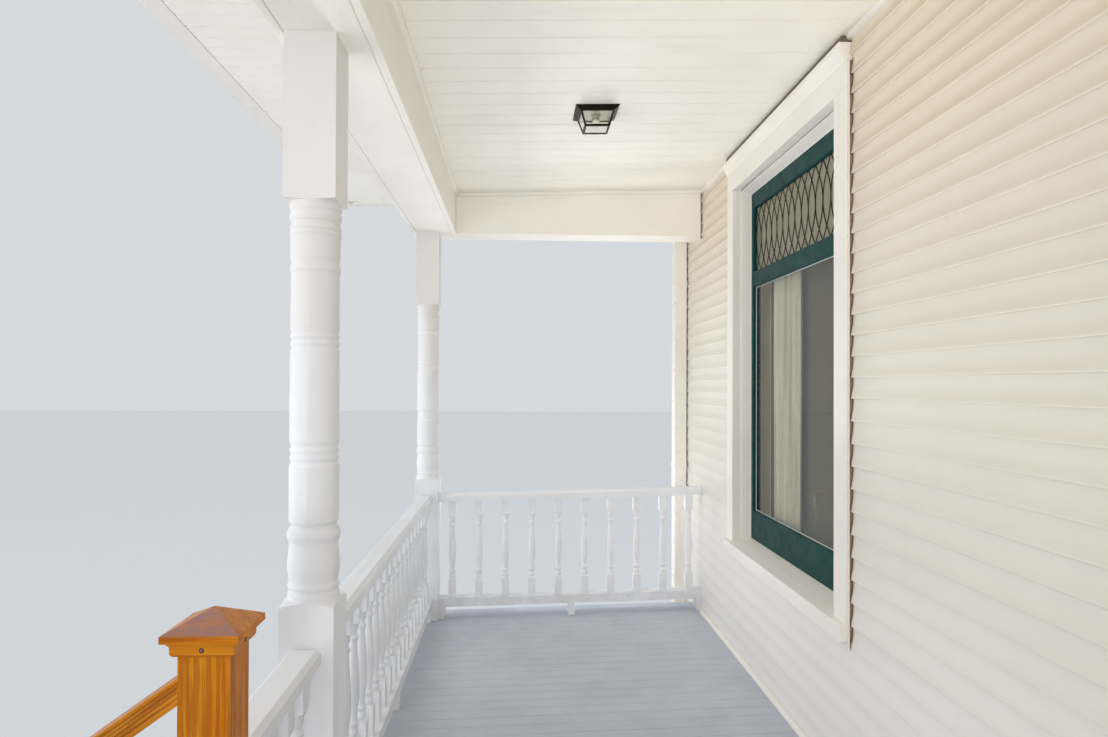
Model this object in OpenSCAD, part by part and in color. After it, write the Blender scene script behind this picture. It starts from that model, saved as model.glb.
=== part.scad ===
// Front porch of a timber house: three bays of turned posts under a boxed
// beam and a low hip roof, a sloping board floor, railings with turned
// balusters, a short stair with stained newels, and the slice of house wall
// behind it with two large windows and the entry door.
// Millimetres, +Z up, the street on the -Y side, the house on the +Y side.

/* [Porch] */
// Distance between post centres, which is the width of one bay
bay = 2575; // [2200:5:3000]
// Post centre line to the face of the house siding
porch_depth = 1733; // [1400:1:2400]
// Floor above the ground at the post line
floor_h = 740; // [552:1:1100]
// Floor at the post line to the underside of the beams
headroom = 2409; // [2200:1:2700]
// Fall of the floor toward the street, per unit of depth
floor_fall = 0.023; // [0:0.001:0.04]
// Board floor edge beyond the post centre line
floor_edge = 138; // [100:1:300]
// Thickness of the floor boards
floor_t = 25; // [18:1:40]

/* [Posts and beams] */
// Side of the square post blank
post = 146; // [120:1:200]
// Height of the square foot of a post
post_foot = 875; // [800:1:1000]
// Side of the square head of a post, a little slimmer than its foot
post_head = 140; // [100:1:180]
// Width of the boxed front beam
beam_w = 270; // [200:1:350]
// Front beam face beyond the post centre line
beam_out = 101; // [80:1:160]
// Height of the beams, underside to soffit
beam_h = 301; // [200:1:400]
// Width of the boxed end beams
end_beam_w = 200; // [150:1:300]
// End beam face beyond the corner post centre
end_beam_out = 179; // [100:1:220]

/* [Eaves and roof] */
// Front edge of the gutter floor beyond the post centre line
eave_out = 688; // [500:1:900]
// End edge of the gutter floor beyond the corner post centre
end_eave_out = 590; // [450:1:800]
// Width of the gutter floor
gutter_w = 80; // [60:1:120]
// Height of the gutter
gutter_h = 118; // [90:1:140]
// Rise of the roof per unit of run
roof_rise = 0.25; // [0.15:0.01:0.4]
// Thickness of roof boards and shingles together
roof_t = 30; // [20:1:50]
// House wall shown above the roof
wall_above_roof = 144; // [80:1:400]

/* [Windows and door] */
// Centre of each window from the centre of the porch
window_x = 2470; // [2300:5:2700]
// Clear width between the window casings
window_w = 1262; // [900:1:1600]
// Sill height of the sash above the floor at the post line
window_sill = 650; // [400:1:900]
// Clear gap between a window's crown and the ceiling
crown_gap = 30; // [5:1:200]
// Height of the transom light
transom_h = 341; // [200:1:500]
// Width of the flat casing boards
casing_w = 98; // [80:1:140]
// Clear width of the doorway
door_w = 914; // [760:2:1000]
// Height of the door leaf
door_h = 2045; // [1980:1:2200]

/* [Railings] */
// Top of the railings above the floor
rail_h = 775; // [700:1:1070]
// Top of the short railings beside the stair, above the floor
short_rail_h = 751; // [700:1:1000]
// Width of the rails
rail_w = 89; // [70:1:120]
// Square of the baluster blanks
baluster = 46; // [35:1:60]
// Aim for the distance between baluster centres
baluster_gap = 122; // [95:1:150]

/* [Stair] */
// Clear width between the newels
stair_w = 1045; // [860:1:1400]
// Number of risers from the ground to the floor
risers = 4; // [3:1:6]
// Depth of one step
tread_run = 260; // [240:1:300]
// Side of a newel
newel = 89; // [70:1:120]
// Top of the stair handrail at the upper newel, above the floor
handrail_h = 951; // [850:1:1050]
// Tip of a newel's cap above the handrail that it carries
newel_over_rail = 111; // [100:1:300]

/* [House wall] */
// Thickness of the house wall
wall_t = 190; // [120:1:300]
// Wall beyond the corner post centre, at each end
wall_beyond = 498; // [430:1:900]

/* [Hidden] */
$fn = 48;
eps = 0.01;

// Levels
beam_z = floor_h + headroom;
soffit_z = beam_z + beam_h;
fascia_h = 140;
board = 25;
soffit_t = 12;
riser_h = (floor_h - floor_fall * floor_edge) / risers;

// Across the porch, from the centre
post_x = [-1.5 * bay, -0.5 * bay, 0.5 * bay, 1.5 * bay];
corner_x = 1.5 * bay;
beam_x = corner_x + end_beam_out;
floor_x = corner_x + 150;
wall_x = corner_x + wall_beyond;
gutter_x = corner_x + end_eave_out;
fascia_x = gutter_x - gutter_w;

// Along the depth, from the post centre line
gutter_y = -eave_out;
fascia_y = gutter_y + gutter_w;
siding_y = porch_depth;
back_y = siding_y + wall_t;
rim_y = board - floor_edge;
stair_y = rim_y - (risers - 1) * tread_run;
front_y = stair_y - board;
mid_y = (back_y + front_y) / 2;

// Roof surface
roof_z = soffit_z + fascia_h;
drip = 25;
function roof_under(y) = roof_z + (y - fascia_y) * roof_rise;
roof_top_z = roof_under(siding_y) + roof_t * sqrt(1 + roof_rise * roof_rise);
wall_top = roof_top_z + wall_above_roof;

// Floor surface
function floor_z(y) = floor_h + y * floor_fall;

// Ceiling, which rises a little toward the house
ceiling_front = beam_z + 246;
ceiling_back = beam_z + 291;
ceiling_t = 12;
ceil_y0 = beam_w - beam_out;
function ceiling_z(y) =
    ceiling_front + (ceiling_back - ceiling_front) * (y - ceil_y0) / (siding_y - ceil_y0);

// Windows, which hang their heads from the ceiling
head_casing_h = 128;
crown_h = 31;
window_head = ceiling_back - crown_gap - crown_h - head_casing_h - floor_h;

// Newels and stair
newel_h = handrail_h + newel_over_rail;
newel_x = stair_w / 2 + newel / 2;
newel_y = 22;
foot_newel_y = stair_y + newel / 2;
stair_slope = riser_h / tread_run;
rail_y = -5;

// Colours
white = [0.90, 0.89, 0.87];
cream = [0.89, 0.85, 0.75];
grey_paint = [0.60, 0.63, 0.66];
stain = [0.72, 0.42, 0.20];
teal = [0.12, 0.25, 0.24];
bronze = [0.10, 0.09, 0.08];
masonry = [0.62, 0.60, 0.57];
pine = [0.76, 0.63, 0.45];
shingle = [0.30, 0.30, 0.31];
glass_tint = [0.70, 0.80, 0.84, 0.45];

// Frame helpers

// Puts the middle of the whole depth at y = 0
module placed() {
    translate([0, -mid_y, 0]) children();
}

// One copy on each side of the porch
module both_sides() {
    children();
    mirror([1, 0, 0]) children();
}

// A box from its low corner to its high corner
module block(lo, hi) {
    translate(lo) cube(hi - lo);
}

// A profile drawn in Y and Z, extruded along X from x0 to x1
module along_x(x0, x1) {
    translate([x0, 0, 0]) rotate([90, 0, 90]) linear_extrude(x1 - x0) children();
}

// A profile drawn in X and Z, extruded along Y from y0 to y1
module along_y(y0, y1) {
    translate([0, y1, 0]) rotate([90, 0, 0]) linear_extrude(y1 - y0) children();
}

// A square solid whose half width follows a profile of [half width, z] pairs
module mitred(profile) {
    reach = max([for (p = profile) p[0]]) + 1;
    n = len(profile);
    outline = concat(profile,
        [for (i = [1:n]) if (profile[n - i][0] > 0) [-profile[n - i][0], profile[n - i][1]]]);
    intersection() {
        along_x(-reach, reach) polygon(outline);
        along_y(-reach, reach) polygon(outline);
    }
}

// Keeps what stands above the sloping floor
module above_floor() {
    difference() {
        children();
        along_x(-floor_x - 200, floor_x + 200)
            polygon([[-800, -10], [siding_y + 10, -10], [siding_y + 10, floor_z(siding_y + 10)],
                [-800, floor_z(-800)]]);
    }
}

// A rounded bead of height h on radius r, between two heights
function bead(z0, z1, r, h, n = 6) =
    [for (i = [0:n]) [r + h * sin(180 * i / n), z0 + (z1 - z0) * i / n]];

// A smooth swell from r0 to r1 between two heights
function swell(z0, z1, r0, r1, n = 6) =
    [for (i = [0:n]) [r0 + (r1 - r0) * (1 - cos(180 * i / n)) / 2, z0 + (z1 - z0) * i / n]];

// House wall

joist_h = 140;
girder_h = 184;
rim_h = 184;
joist_t = 38;
foundation_h = floor_z(siding_y) - floor_t - joist_h + 5;

module house_foundation() {
    color(masonry) placed()
        block([-wall_x + 10, siding_y + 10, 0], [wall_x - 10, back_y, foundation_h]);
}

wall_split = (window_x - window_w / 2 - casing_w) / 2 + 150;
jamb = 20;

module window_hole() {
    block([window_x - window_w / 2 - jamb, siding_y - 1, floor_h + window_sill - 52],
        [window_x + window_w / 2 + jamb, back_y + 1, floor_h + window_head + jamb]);
}

module window_wall() {
    difference() {
        block([wall_split, siding_y, foundation_h], [wall_x - jamb, back_y, wall_top]);
        window_hole();
    }
}

module left_wall() {
    color(cream) placed() mirror([1, 0, 0]) window_wall();
}

module right_wall() {
    color(cream) placed() window_wall();
}

door_sill_z = floor_z(siding_y) + 3;
door_top = door_sill_z + 24 + door_h + 3;

module entry_wall() {
    color(cream) placed() difference() {
        block([-wall_split, siding_y, foundation_h], [wall_split, back_y, wall_top]);
        block([-door_w / 2 - jamb, siding_y - 1, door_sill_z],
            [door_w / 2 + jamb, back_y + 1, door_top + jamb]);
    }
}

corner_w = 76;
corner_proud = 13;

module corner_boards() {
    color(white) placed() both_sides() translate([0, 0, foundation_h])
        linear_extrude(wall_top - foundation_h)
            polygon([[wall_x, siding_y - corner_proud], [wall_x, back_y],
                [wall_x - jamb, back_y], [wall_x - jamb, siding_y],
                [wall_x - corner_w, siding_y], [wall_x - corner_w, siding_y - corner_proud]]);
}

// Windows

casing_face = siding_y - board;
sash_face = siding_y + 72;
sash_t = 45;
stop_w = 42;
stop_t = 12;
crown_out = 31;
nose_out = 21;
nose_h = 60;
sill_fall = 26;

// Head casing with its crown, seen from the side
module crown_profile(z0) {
    polygon(concat([[siding_y, z0], [casing_face, z0], [casing_face, z0 + head_casing_h]],
        [for (a = [0:15:90]) [casing_face - crown_out * (1 - cos(a)) * 0.75,
            z0 + head_casing_h + crown_h * 0.75 * sin(a)]],
        [[casing_face - crown_out, z0 + head_casing_h + crown_h * 0.78],
        [casing_face - crown_out, z0 + head_casing_h + crown_h],
        [siding_y, z0 + head_casing_h + crown_h]]));
}

module window_frame() {
    x0 = window_x - window_w / 2;
    x1 = window_x + window_w / 2;
    sill = floor_h + window_sill;
    head = floor_h + window_head;
    nose_y = casing_face - nose_out;
    nose_z = sill - sill_fall;
    at_wall = nose_z + sill_fall * (siding_y - nose_y) / (sash_face - nose_y);
    // side casings
    for (x = [x0 - casing_w, x1])
        block([x, casing_face, nose_z - eps], [x + casing_w, siding_y, head + eps]);
    // head casing and crown
    along_x(x0 - casing_w, x1 + casing_w) crown_profile(head);
    // jambs through the wall, with the stops that the sash closes on
    for (side = [0, 1]) {
        jx = side == 0 ? x0 - jamb : x1;
        sx = side == 0 ? x0 - eps : x1 - stop_w;
        block([jx, siding_y - eps, sill - 52], [jx + jamb, back_y, head + jamb]);
        block([sx, sash_face - stop_t, sill - 20], [sx + stop_w + eps, sash_face, head]);
    }
    block([x0 - eps, siding_y - eps, head], [x1 + eps, back_y, head + jamb]);
    block([x0 - eps, sash_face - stop_t, head - head_stop], [x1 + eps, sash_face, head + eps]);
    // sloping sill, its nose standing on under the casings at both ends
    along_x(x0 - casing_w, x1 + casing_w)
        polygon([[nose_y, nose_z - nose_h], [siding_y, nose_z - nose_h], [siding_y, at_wall],
            [nose_y, nose_z]]);
    along_x(x0 - eps, x1 + eps)
        polygon([[siding_y - eps, sill - 52], [back_y, sill - 52], [back_y, sill],
            [sash_face, sill], [siding_y - eps, at_wall]]);
}

module window_frames() {
    color(white) placed() both_sides() window_frame();
}

sash_x = window_w / 2;
head_stop = 38;
stile = 42 + stop_w;
transom_top = window_head - head_stop - 72;
transom_rail = 75;
glass_z = [[window_sill + 148, transom_top - transom_h - transom_rail],
    [transom_top - transom_h, transom_top]];
glass_y = sash_face + 16;

module window_sash() {
    top = floor_h + window_head;
    difference() {
        block([window_x - sash_x, sash_face, floor_h + window_sill],
            [window_x + sash_x, sash_face + sash_t, top]);
        for (z = glass_z) {
            block([window_x - sash_x + stile, sash_face - 1, floor_h + z[0]],
                [window_x + sash_x - stile, sash_face + sash_t + 1, floor_h + z[1]]);
        }
    }
}

module window_sashes() {
    color(teal) placed() both_sides() window_sash();
}

// Entry door

door_face = siding_y + 60;
door_t = 44;
light_z = [1150, 1890];
light_x = door_w / 2 - 150;
panel_z = [[250, 600], [690, 1040]];

module door_frame() {
    x0 = door_w / 2;
    color(white) placed() {
        for (s = [-1, 1]) {
            cx = s > 0 ? x0 : -x0 - casing_w;
            jx = s > 0 ? x0 : -x0 - jamb;
            block([cx, casing_face, floor_z(siding_y) + eps], [cx + casing_w, siding_y, door_top + eps]);
            block([jx, siding_y - eps, door_sill_z], [jx + jamb, back_y, door_top + jamb]);
        }
        block([-x0 - eps, siding_y - eps, door_top], [x0 + eps, back_y, door_top + jamb]);
        along_x(-x0 - casing_w, x0 + casing_w) crown_profile(door_top);
        along_x(-x0 - eps, x0 + eps)
            polygon([[siding_y - 30, door_sill_z], [back_y, door_sill_z],
                [back_y, door_sill_z + 24], [door_face, door_sill_z + 24],
                [siding_y - 30, door_sill_z + 12]]);
    }
}

module front_door() {
    z0 = door_sill_z + 24;
    color(teal) placed() {
        difference() {
            block([-door_w / 2, door_face, z0], [door_w / 2, door_face + door_t, door_top]);
            block([-light_x, door_face - 1, z0 + light_z[0]],
                [light_x, door_face + door_t + 1, z0 + light_z[1]]);
            for (z = panel_z, y = [door_face - 10, door_face + door_t - 10])
                block([-light_x, y, z0 + z[0]], [light_x, y + 20, z0 + z[1]]);
        }
        // door knob with its rose
        for (s = [0, 1])
            translate([door_w / 2 - 70, door_face + door_t / 2, z0 + 960]) rotate([s * 180, 0, 0])
                rotate([90, 0, 0]) rotate_extrude()
                    polygon([[0, door_t / 2 - 1], [30, door_t / 2 - 1], [30, door_t / 2 + 4],
                        [24, door_t / 2 + 8], [10, door_t / 2 + 10], [9, door_t / 2 + 34],
                        [20, door_t / 2 + 40], [27, door_t / 2 + 50], [26, door_t / 2 + 60],
                        [16, door_t / 2 + 67], [0, door_t / 2 + 69]]);
    }
}

// Panes of both windows and of the door
module glazing() {
    z0 = door_sill_z + 24;
    color(glass_tint) placed() {
        both_sides() for (z = glass_z)
            block([window_x - sash_x + stile, glass_y, floor_h + z[0]],
                [window_x + sash_x - stile, glass_y + 6, floor_h + z[1]]);
        block([-light_x, door_face + 19, z0 + light_z[0]],
            [light_x, door_face + 25, z0 + light_z[1]]);
    }
}

// Floor and what carries it

function under_floor(y) = floor_z(y) - floor_t;
pier_top = under_floor(0) - joist_h - girder_h;
pier = 200;

// A sloping bar between two depths, its top a given drop under the floor
module floor_bar_profile(y0, y1, drop_top, h) {
    polygon([[y0, floor_z(y0) - drop_top - h], [y1, floor_z(y1) - drop_top - h],
        [y1, floor_z(y1) - drop_top], [y0, floor_z(y0) - drop_top]]);
}

module floor_boards() {
    color(grey_paint) placed() along_x(-floor_x, floor_x)
        floor_bar_profile(-floor_edge, siding_y, 0, floor_t);
}

module porch_piers() {
    color(masonry) placed() for (x = post_x)
        along_x(x - pier / 2, x + pier / 2)
            polygon([[-75, 0], [pier - 75, 0], [pier - 75, pier_top + (pier - 75) * floor_fall],
                [-75, pier_top - 75 * floor_fall]]);
}

module floor_girders() {
    color(pine) placed() for (x = post_x)
        along_x(x - 45, x + 45)
            floor_bar_profile(-75, siding_y + 10, floor_t + joist_h, girder_h);
}

module floor_joists() {
    n = 4;
    y0 = rim_y + joist_t;
    step = (siding_y - joist_t - y0) / n;
    color(pine) placed() for (i = [0:n])
        along_x(-floor_x + board + joist_t, floor_x - board - joist_t)
            floor_bar_profile(y0 + i * step, y0 + i * step + joist_t, floor_t, joist_h);
}

module front_rim_board() {
    color(white) placed() along_x(-floor_x + board, floor_x - board)
        floor_bar_profile(rim_y, rim_y + joist_t, floor_t, rim_h);
}

module end_rim_boards() {
    color(white) placed() both_sides()
        along_x(floor_x - board - joist_t, floor_x - board)
            floor_bar_profile(rim_y + joist_t, siding_y, floor_t, rim_h);
}

// Framed panel of upright slats, drawn flat, its top rising by a slope
module slat_panel(w, h, rise = 0) {
    rail = 70;
    slat = 62;
    gap = 18;
    n = floor((w - 2 * rail + gap) / (slat + gap));
    step = (w - 2 * rail + gap) / n;
    difference() {
        polygon([[0, 0], [w, 0], [w, h + w * rise], [0, h]]);
        for (i = [1:n]) translate([rail + i * step - gap, rail])
            square([gap, h - 2 * rail + (rail + i * step - gap) * rise]);
    }
}

skirt_foot = 40;
skirt_t = 22;

module front_skirting() {
    top = under_floor(rim_y) - rim_h;
    x0 = newel_x + newel / 2;
    color(white) placed() both_sides()
        translate([x0, rim_y + skirt_t, skirt_foot]) rotate([90, 0, 0]) linear_extrude(skirt_t)
            slat_panel(floor_x - board - x0, top - skirt_foot);
}

module end_skirting() {
    top = under_floor(rim_y) - rim_h;
    color(white) placed() both_sides()
        translate([floor_x - board - skirt_t, rim_y + skirt_t, skirt_foot])
            rotate([90, 0, 90]) linear_extrude(skirt_t)
                slat_panel(siding_y + 10 - rim_y - skirt_t, top - skirt_foot, floor_fall);
}

// Turned posts

// Radius against height above the floor; wide stretches leave the blank square
post_profile = concat(
    [[0, -40], [120, -40], [120, post_foot - 17], [103.2, post_foot - 14]],
    [[71, post_foot - 2], [69.5, post_foot - 1], [70, post_foot + 12]],
    [[64.5, post_foot + 20]],
    bead(post_foot + 23, post_foot + 44, 64.5, 4.5),
    [[64, post_foot + 47]],
    swell(post_foot + 49, post_foot + 84, 65.5, 70.2),
    swell(post_foot + 88, post_foot + 146, 70.2, 65.6),
    bead(post_foot + 153, post_foot + 190, 66, 5.5),
    [[63, post_foot + 193], [59.5, post_foot + 198], [63, post_foot + 204]],
    [[66.8, post_foot + 208], [67.5, headroom - 1175], [62, headroom - 1163]],
    bead(headroom - 1160, headroom - 1143, 62.5, 3.5),
    [[62.5, headroom - 1141]],
    bead(headroom - 1139, headroom - 1121, 62.5, 3.2),
    [[62.5, headroom - 1117], [66.8, headroom - 1107], [66, headroom - 861]],
    [[63, headroom - 851]],
    bead(headroom - 848, headroom - 831, 63, 3),
    [[62.5, headroom - 829]],
    bead(headroom - 827, headroom - 813, 63, 3),
    [[63, headroom - 809], [65.9, headroom - 797], [64.5, headroom - 645]],
    [[67.5, headroom - 638], [67.5, headroom - 627], [64, headroom - 620]],
    [[64, headroom - 616], [67, headroom - 604], [67, headroom - 549]],
    bead(headroom - 545, headroom - 531, 67, 2.9),
    [[66, headroom - 529], [68.9, headroom - 525], [68.9, headroom - 517]],
    [[63.6, headroom - 511], [63.6, headroom - 505]],
    bead(headroom - 504, headroom - 478, 66, 4),
    [[66.5, headroom - 475], [69.5, headroom - 471], [70, headroom - 452]],
    [[99, headroom - 447], [120, headroom - 443], [120, headroom], [0, headroom]]);

module turned_post(x) {
    mid = headroom / 2;
    above_floor() translate([x, 0, floor_h]) intersection() {
        union() {
            translate([-post / 2, -post / 2, -40]) cube([post, post, mid + 40]);
            translate([-post_head / 2, -post_head / 2, mid - 1])
                cube([post_head, post_head, mid + 1]);
        }
        rotate_extrude() polygon(post_profile);
    }
}

module turned_posts() {
    color(white) placed() for (x = post_x) turned_post(x);
}

// Beams and ceiling

side_board = 29;
seam = 3;

// Boxed beam from two side boards and a bottom board, with open seams
module beam_profile(w, h) {
    difference() {
        square([w, h]);
        for (x = [side_board - seam, w - side_board]) translate([x, -1]) square([seam, 5]);
    }
}

module front_beam() {
    color(white) placed() along_x(-beam_x, beam_x)
        translate([-beam_out, beam_z]) beam_profile(beam_w, beam_h);
}

module end_beams() {
    color(white) placed() both_sides() along_y(ceil_y0, siding_y)
        translate([beam_x - end_beam_w, beam_z]) beam_profile(end_beam_w, beam_h);
}

ceil_x = beam_x - end_beam_w;

module ceiling() {
    color(white) placed() along_x(-ceil_x, ceil_x)
        polygon([[ceil_y0, ceiling_front], [siding_y, ceiling_back],
            [siding_y, ceiling_back + ceiling_t], [ceil_y0, ceiling_front + ceiling_t]]);
}

trim = 18;

// Quarter-round section in the corner of wall and ceiling
module quarter_round() {
    intersection() {
        translate([0, -trim]) square(trim);
        circle(trim);
    }
}

module ceiling_trim() {
    rise = atan((ceiling_back - ceiling_front) / (siding_y - ceil_y0));
    len = (siding_y - ceil_y0 - 2 * trim) / cos(rise);
    color(white) placed() {
        along_x(-ceil_x, ceil_x) translate([ceil_y0, ceiling_front]) quarter_round();
        along_x(-ceil_x, ceil_x) translate([siding_y, ceiling_z(siding_y - trim)])
            mirror([1, 0]) quarter_round();
        both_sides() translate([-ceil_x, ceil_y0 + trim, ceiling_z(ceil_y0 + trim)])
            rotate([rise, 0, 0]) along_y(0, len) quarter_round();
    }
}

// Eaves

// Plan of one side of the eaves: mitred at 45 degrees round the corners
module front_side() {
    k = 6000;
    translate([0, 0, soffit_z - 300]) linear_extrude(1400)
        polygon([[-gutter_x + k, gutter_y + k], [-gutter_x - k, gutter_y - k],
            [gutter_x + k, gutter_y - k], [gutter_x - k, gutter_y + k]]);
}

module end_side() {
    k = 6000;
    translate([0, 0, soffit_z - 300]) linear_extrude(1400)
        polygon([[gutter_x - k, gutter_y + k], [gutter_x + k, gutter_y - k],
            [gutter_x + k, gutter_y + k]]);
}

module front_soffit() {
    color(white) placed() intersection() {
        block([-fascia_x, fascia_y, soffit_z], [fascia_x, -beam_out, soffit_z + soffit_t]);
        front_side();
    }
}

module end_soffits() {
    color(white) placed() both_sides() intersection() {
        block([beam_x, fascia_y, soffit_z], [fascia_x, siding_y - corner_proud, soffit_z + soffit_t]);
        end_side();
    }
}

module front_fascia() {
    color(white) placed() intersection() {
        along_x(-fascia_x, fascia_x)
            polygon([[fascia_y, soffit_z + soffit_t], [fascia_y + board, soffit_z + soffit_t],
                [fascia_y + board, roof_under(fascia_y + board)], [fascia_y, roof_z]]);
        front_side();
    }
}

module end_fascias() {
    color(white) placed() both_sides() intersection() {
        along_y(fascia_y, siding_y - corner_proud)
            polygon([[fascia_x, soffit_z + soffit_t], [fascia_x, roof_z],
                [fascia_x - board, roof_z + board * roof_rise],
                [fascia_x - board, soffit_z + soffit_t]]);
        end_side();
    }
}

gutter_t = 3;
gutter_lip = 45;

// Section of the gutter, its back on the fascia at x = 0 and its floor at y = 0
module gutter_section() {
    w = gutter_w;
    t = gutter_t;
    outer = concat([[0, 0], [w, 0], [w, 34]],
        [for (a = [0:15:90]) [w + 22 - 22 * cos(a), 34 + 24 * sin(a)]],
        [for (a = [15:15:90]) [w + 22 + 20 * sin(a), 58 + 26 * (1 - cos(a))]],
        [[w + gutter_lip - 3, gutter_h - 12], [w + gutter_lip, gutter_h - 12],
        [w + gutter_lip, gutter_h]]);
    inner = concat([[w + gutter_lip - 14, gutter_h], [w + gutter_lip - 14, gutter_h - t],
        [w + gutter_lip - t - 3, gutter_h - t]],
        [for (a = [90:-15:15]) [w + 22 - t + 20 * sin(a), 58 + t + 26 * (1 - cos(a))]],
        [for (a = [90:-15:0]) [w + 22 - t - 22 * cos(a), 34 + t + 24 * sin(a)]],
        [[w - t, t], [t, t], [t, gutter_h], [0, gutter_h]]);
    polygon(concat(outer, inner));
}

// Filled outline of the gutter, for its end caps
module gutter_cap_section() {
    w = gutter_w;
    polygon(concat([[0, 0], [w, 0], [w, 34]],
        [for (a = [0:15:90]) [w + 22 - 22 * cos(a), 34 + 24 * sin(a)]],
        [for (a = [15:15:90]) [w + 22 + 20 * sin(a), 58 + 26 * (1 - cos(a))]],
        [[w + gutter_lip - 3, gutter_h - 12], [w + gutter_lip, gutter_h - 12],
        [w + gutter_lip, gutter_h], [0, gutter_h]]));
}

module front_gutter() {
    color(white) placed() intersection() {
        along_x(-gutter_x - 60, gutter_x + 60)
            translate([fascia_y, soffit_z]) mirror([1, 0]) gutter_section();
        front_side();
    }
}

module end_gutters() {
    end = siding_y - corner_proud - 12;
    color(white) placed() both_sides() intersection() {
        union() {
            along_y(gutter_y - 60, end) translate([fascia_x, soffit_z]) gutter_section();
            along_y(end - gutter_t, end) translate([fascia_x, soffit_z]) gutter_cap_section();
        }
        end_side();
    }
}

// Downspouts

spout_w = 102;
spout_d = 80;
spout_x = wall_x - 36 - spout_w / 2;
spout_y = siding_y - corner_proud - spout_d / 2;

module downspouts() {
    top_z = soffit_z;
    out_x = gutter_x - gutter_w / 2;
    kick = 150;
    color(white) placed() both_sides() {
        // offset from the gutter outlet to the wall, as one bent pipe
        along_y(spout_y - spout_d / 2, spout_y + spout_d / 2) difference() {
            polygon([[out_x - 36, top_z], [out_x + 36, top_z], [out_x + 36, top_z - 60],
                [spout_x + spout_w / 2, top_z - 230], [spout_x + spout_w / 2, 200],
                [spout_x - spout_w / 2, 200], [spout_x - spout_w / 2, top_z - 190],
                [out_x - 36, top_z - 70]]);
        }
        // foot elbow that turns toward the street
        along_x(spout_x - spout_w / 2, spout_x + spout_w / 2)
            polygon([[spout_y + spout_d / 2, 200 + eps], [spout_y - spout_d / 2, 200 + eps],
                [spout_y - spout_d / 2, 150], [spout_y - spout_d / 2 - kick, 90],
                [spout_y - spout_d / 2 - kick + 36, 20], [spout_y + spout_d / 2, 95]]);
    }
}

// Roof

module front_roof_slope() {
    t = roof_t * sqrt(1 + roof_rise * roof_rise);
    y0 = fascia_y - drip;
    color(shingle) placed() intersection() {
        along_x(-gutter_x, gutter_x)
            polygon([[y0, roof_under(y0)], [siding_y, roof_under(siding_y)],
                [siding_y, roof_under(siding_y) + t], [y0, roof_under(y0) + t]]);
        front_side();
    }
}

module end_roof_slopes() {
    t = roof_t * sqrt(1 + roof_rise * roof_rise);
    x0 = fascia_x + drip;
    run = siding_y - fascia_y + drip;
    color(shingle) placed() both_sides() intersection() {
        along_y(fascia_y - drip, siding_y - corner_proud)
            polygon([[x0, roof_z - drip * roof_rise], [x0, roof_z - drip * roof_rise + t],
                [x0 - run, roof_z + (run - drip) * roof_rise + t],
                [x0 - run, roof_z + (run - drip) * roof_rise]]);
        end_side();
    }
}

// Railings

// Turned baluster between the two rails, drawn as radius against height
function baluster_profile(h) = concat(
    [[0, 0], [40, 0], [40, 103], [29, 109], [21, 114], [18, 117]],
    bead(119, 142, 16.5, 3.2),
    [[14.5, 148]],
    bead(151, 172, 16.5, 4.4),
    [[15.2, 176]],
    swell(180, 272, 15.5, 22.6, 8),
    swell(286, 442, 22.6, 14.5, 8),
    bead(447, 466, 14.5, 4.5),
    [[13.5, 470]],
    swell(472, 494, 13.8, 18, 4),
    [[16.5, 496], [18.6, 499], [18.6, 504], [21, 508], [29, 513], [40, 518], [40, h], [0, h]]);

rail_t = 48;
short_rail_t = 40;
shoe_z = 75;
shoe_t = 52;
seat = 2;

module baluster_turning(h) {
    intersection() {
        translate([-baluster / 2, -baluster / 2, 0]) cube([baluster, baluster, h]);
        rotate_extrude($fn = 32) polygon(baluster_profile(h));
    }
}

// Top rail section with chamfered upper edges
module rail_section(w, h) {
    c = 0.3 * h;
    polygon([[-w / 2, 0], [w / 2, 0], [w / 2, h - c], [w / 2 - c, h], [-w / 2 + c, h],
        [-w / 2, h - c]]);
}

// Straight railing of a length, along +X from the origin, which may climb by a
// slope: the rails follow it and the balusters stay plumb, let into both rails
module railing(len, n, mid_block = true, rise = 0, t = rail_t) {
    step = len / n;
    h = rail_h - t - shoe_z - shoe_t + 2 * seat;
    multmatrix([[1, 0, 0, 0], [0, 1, 0, 0], [rise, 0, 1, 0], [0, 0, 0, 1]])
        rotate([90, 0, 90]) linear_extrude(len) {
            translate([0, rail_h - t]) rail_section(rail_w, t);
            translate([-rail_w / 2, shoe_z]) square([rail_w, shoe_t]);
        }
    for (i = [1:n]) {
        x = step * (i - 0.5);
        translate([x, 0, shoe_z + shoe_t - seat + x * rise]) baluster_turning(h);
    }
    for (x = mid_block ? [0, len / 2 - 20, len - 40] : [0, len - 40])
        translate([x, -rail_w / 2 + 4, -30])
            cube([40, rail_w - 8, shoe_z + 30 + seat + x * rise]);
}

module front_railing() {
    x0 = corner_x - bay + post / 2;
    len = bay - post;
    above_floor() translate([x0, rail_y, floor_z(rail_y)])
        railing(len, round(len / baluster_gap) - 1);
}

module left_railing() {
    color(white) placed() mirror([1, 0, 0]) front_railing();
}

module right_railing() {
    color(white) placed() front_railing();
}

module short_railing() {
    x0 = newel_x + newel / 2;
    len = corner_x - bay - post / 2 - x0;
    above_floor() translate([x0, rail_y, floor_z(rail_y) + short_rail_h - rail_h])
        railing(len, round(len / baluster_gap), false, 0, short_rail_t);
}

module left_short_railing() {
    color(white) placed() mirror([1, 0, 0]) short_railing();
}

module right_short_railing() {
    color(white) placed() short_railing();
}

module end_railing() {
    y0 = post / 2;
    len = siding_y - y0;
    above_floor() translate([corner_x, y0, floor_z(y0)])
        rotate([0, 0, 90]) railing(len, round(len / 145) - 1, true, floor_fall);
}

module left_end_railing() {
    color(white) placed() mirror([1, 0, 0]) end_railing();
}

module right_end_railing() {
    color(white) placed() end_railing();
}

// Stair

tread_t = 32;
riser_t = 18;
stringer_t = 38;

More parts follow.
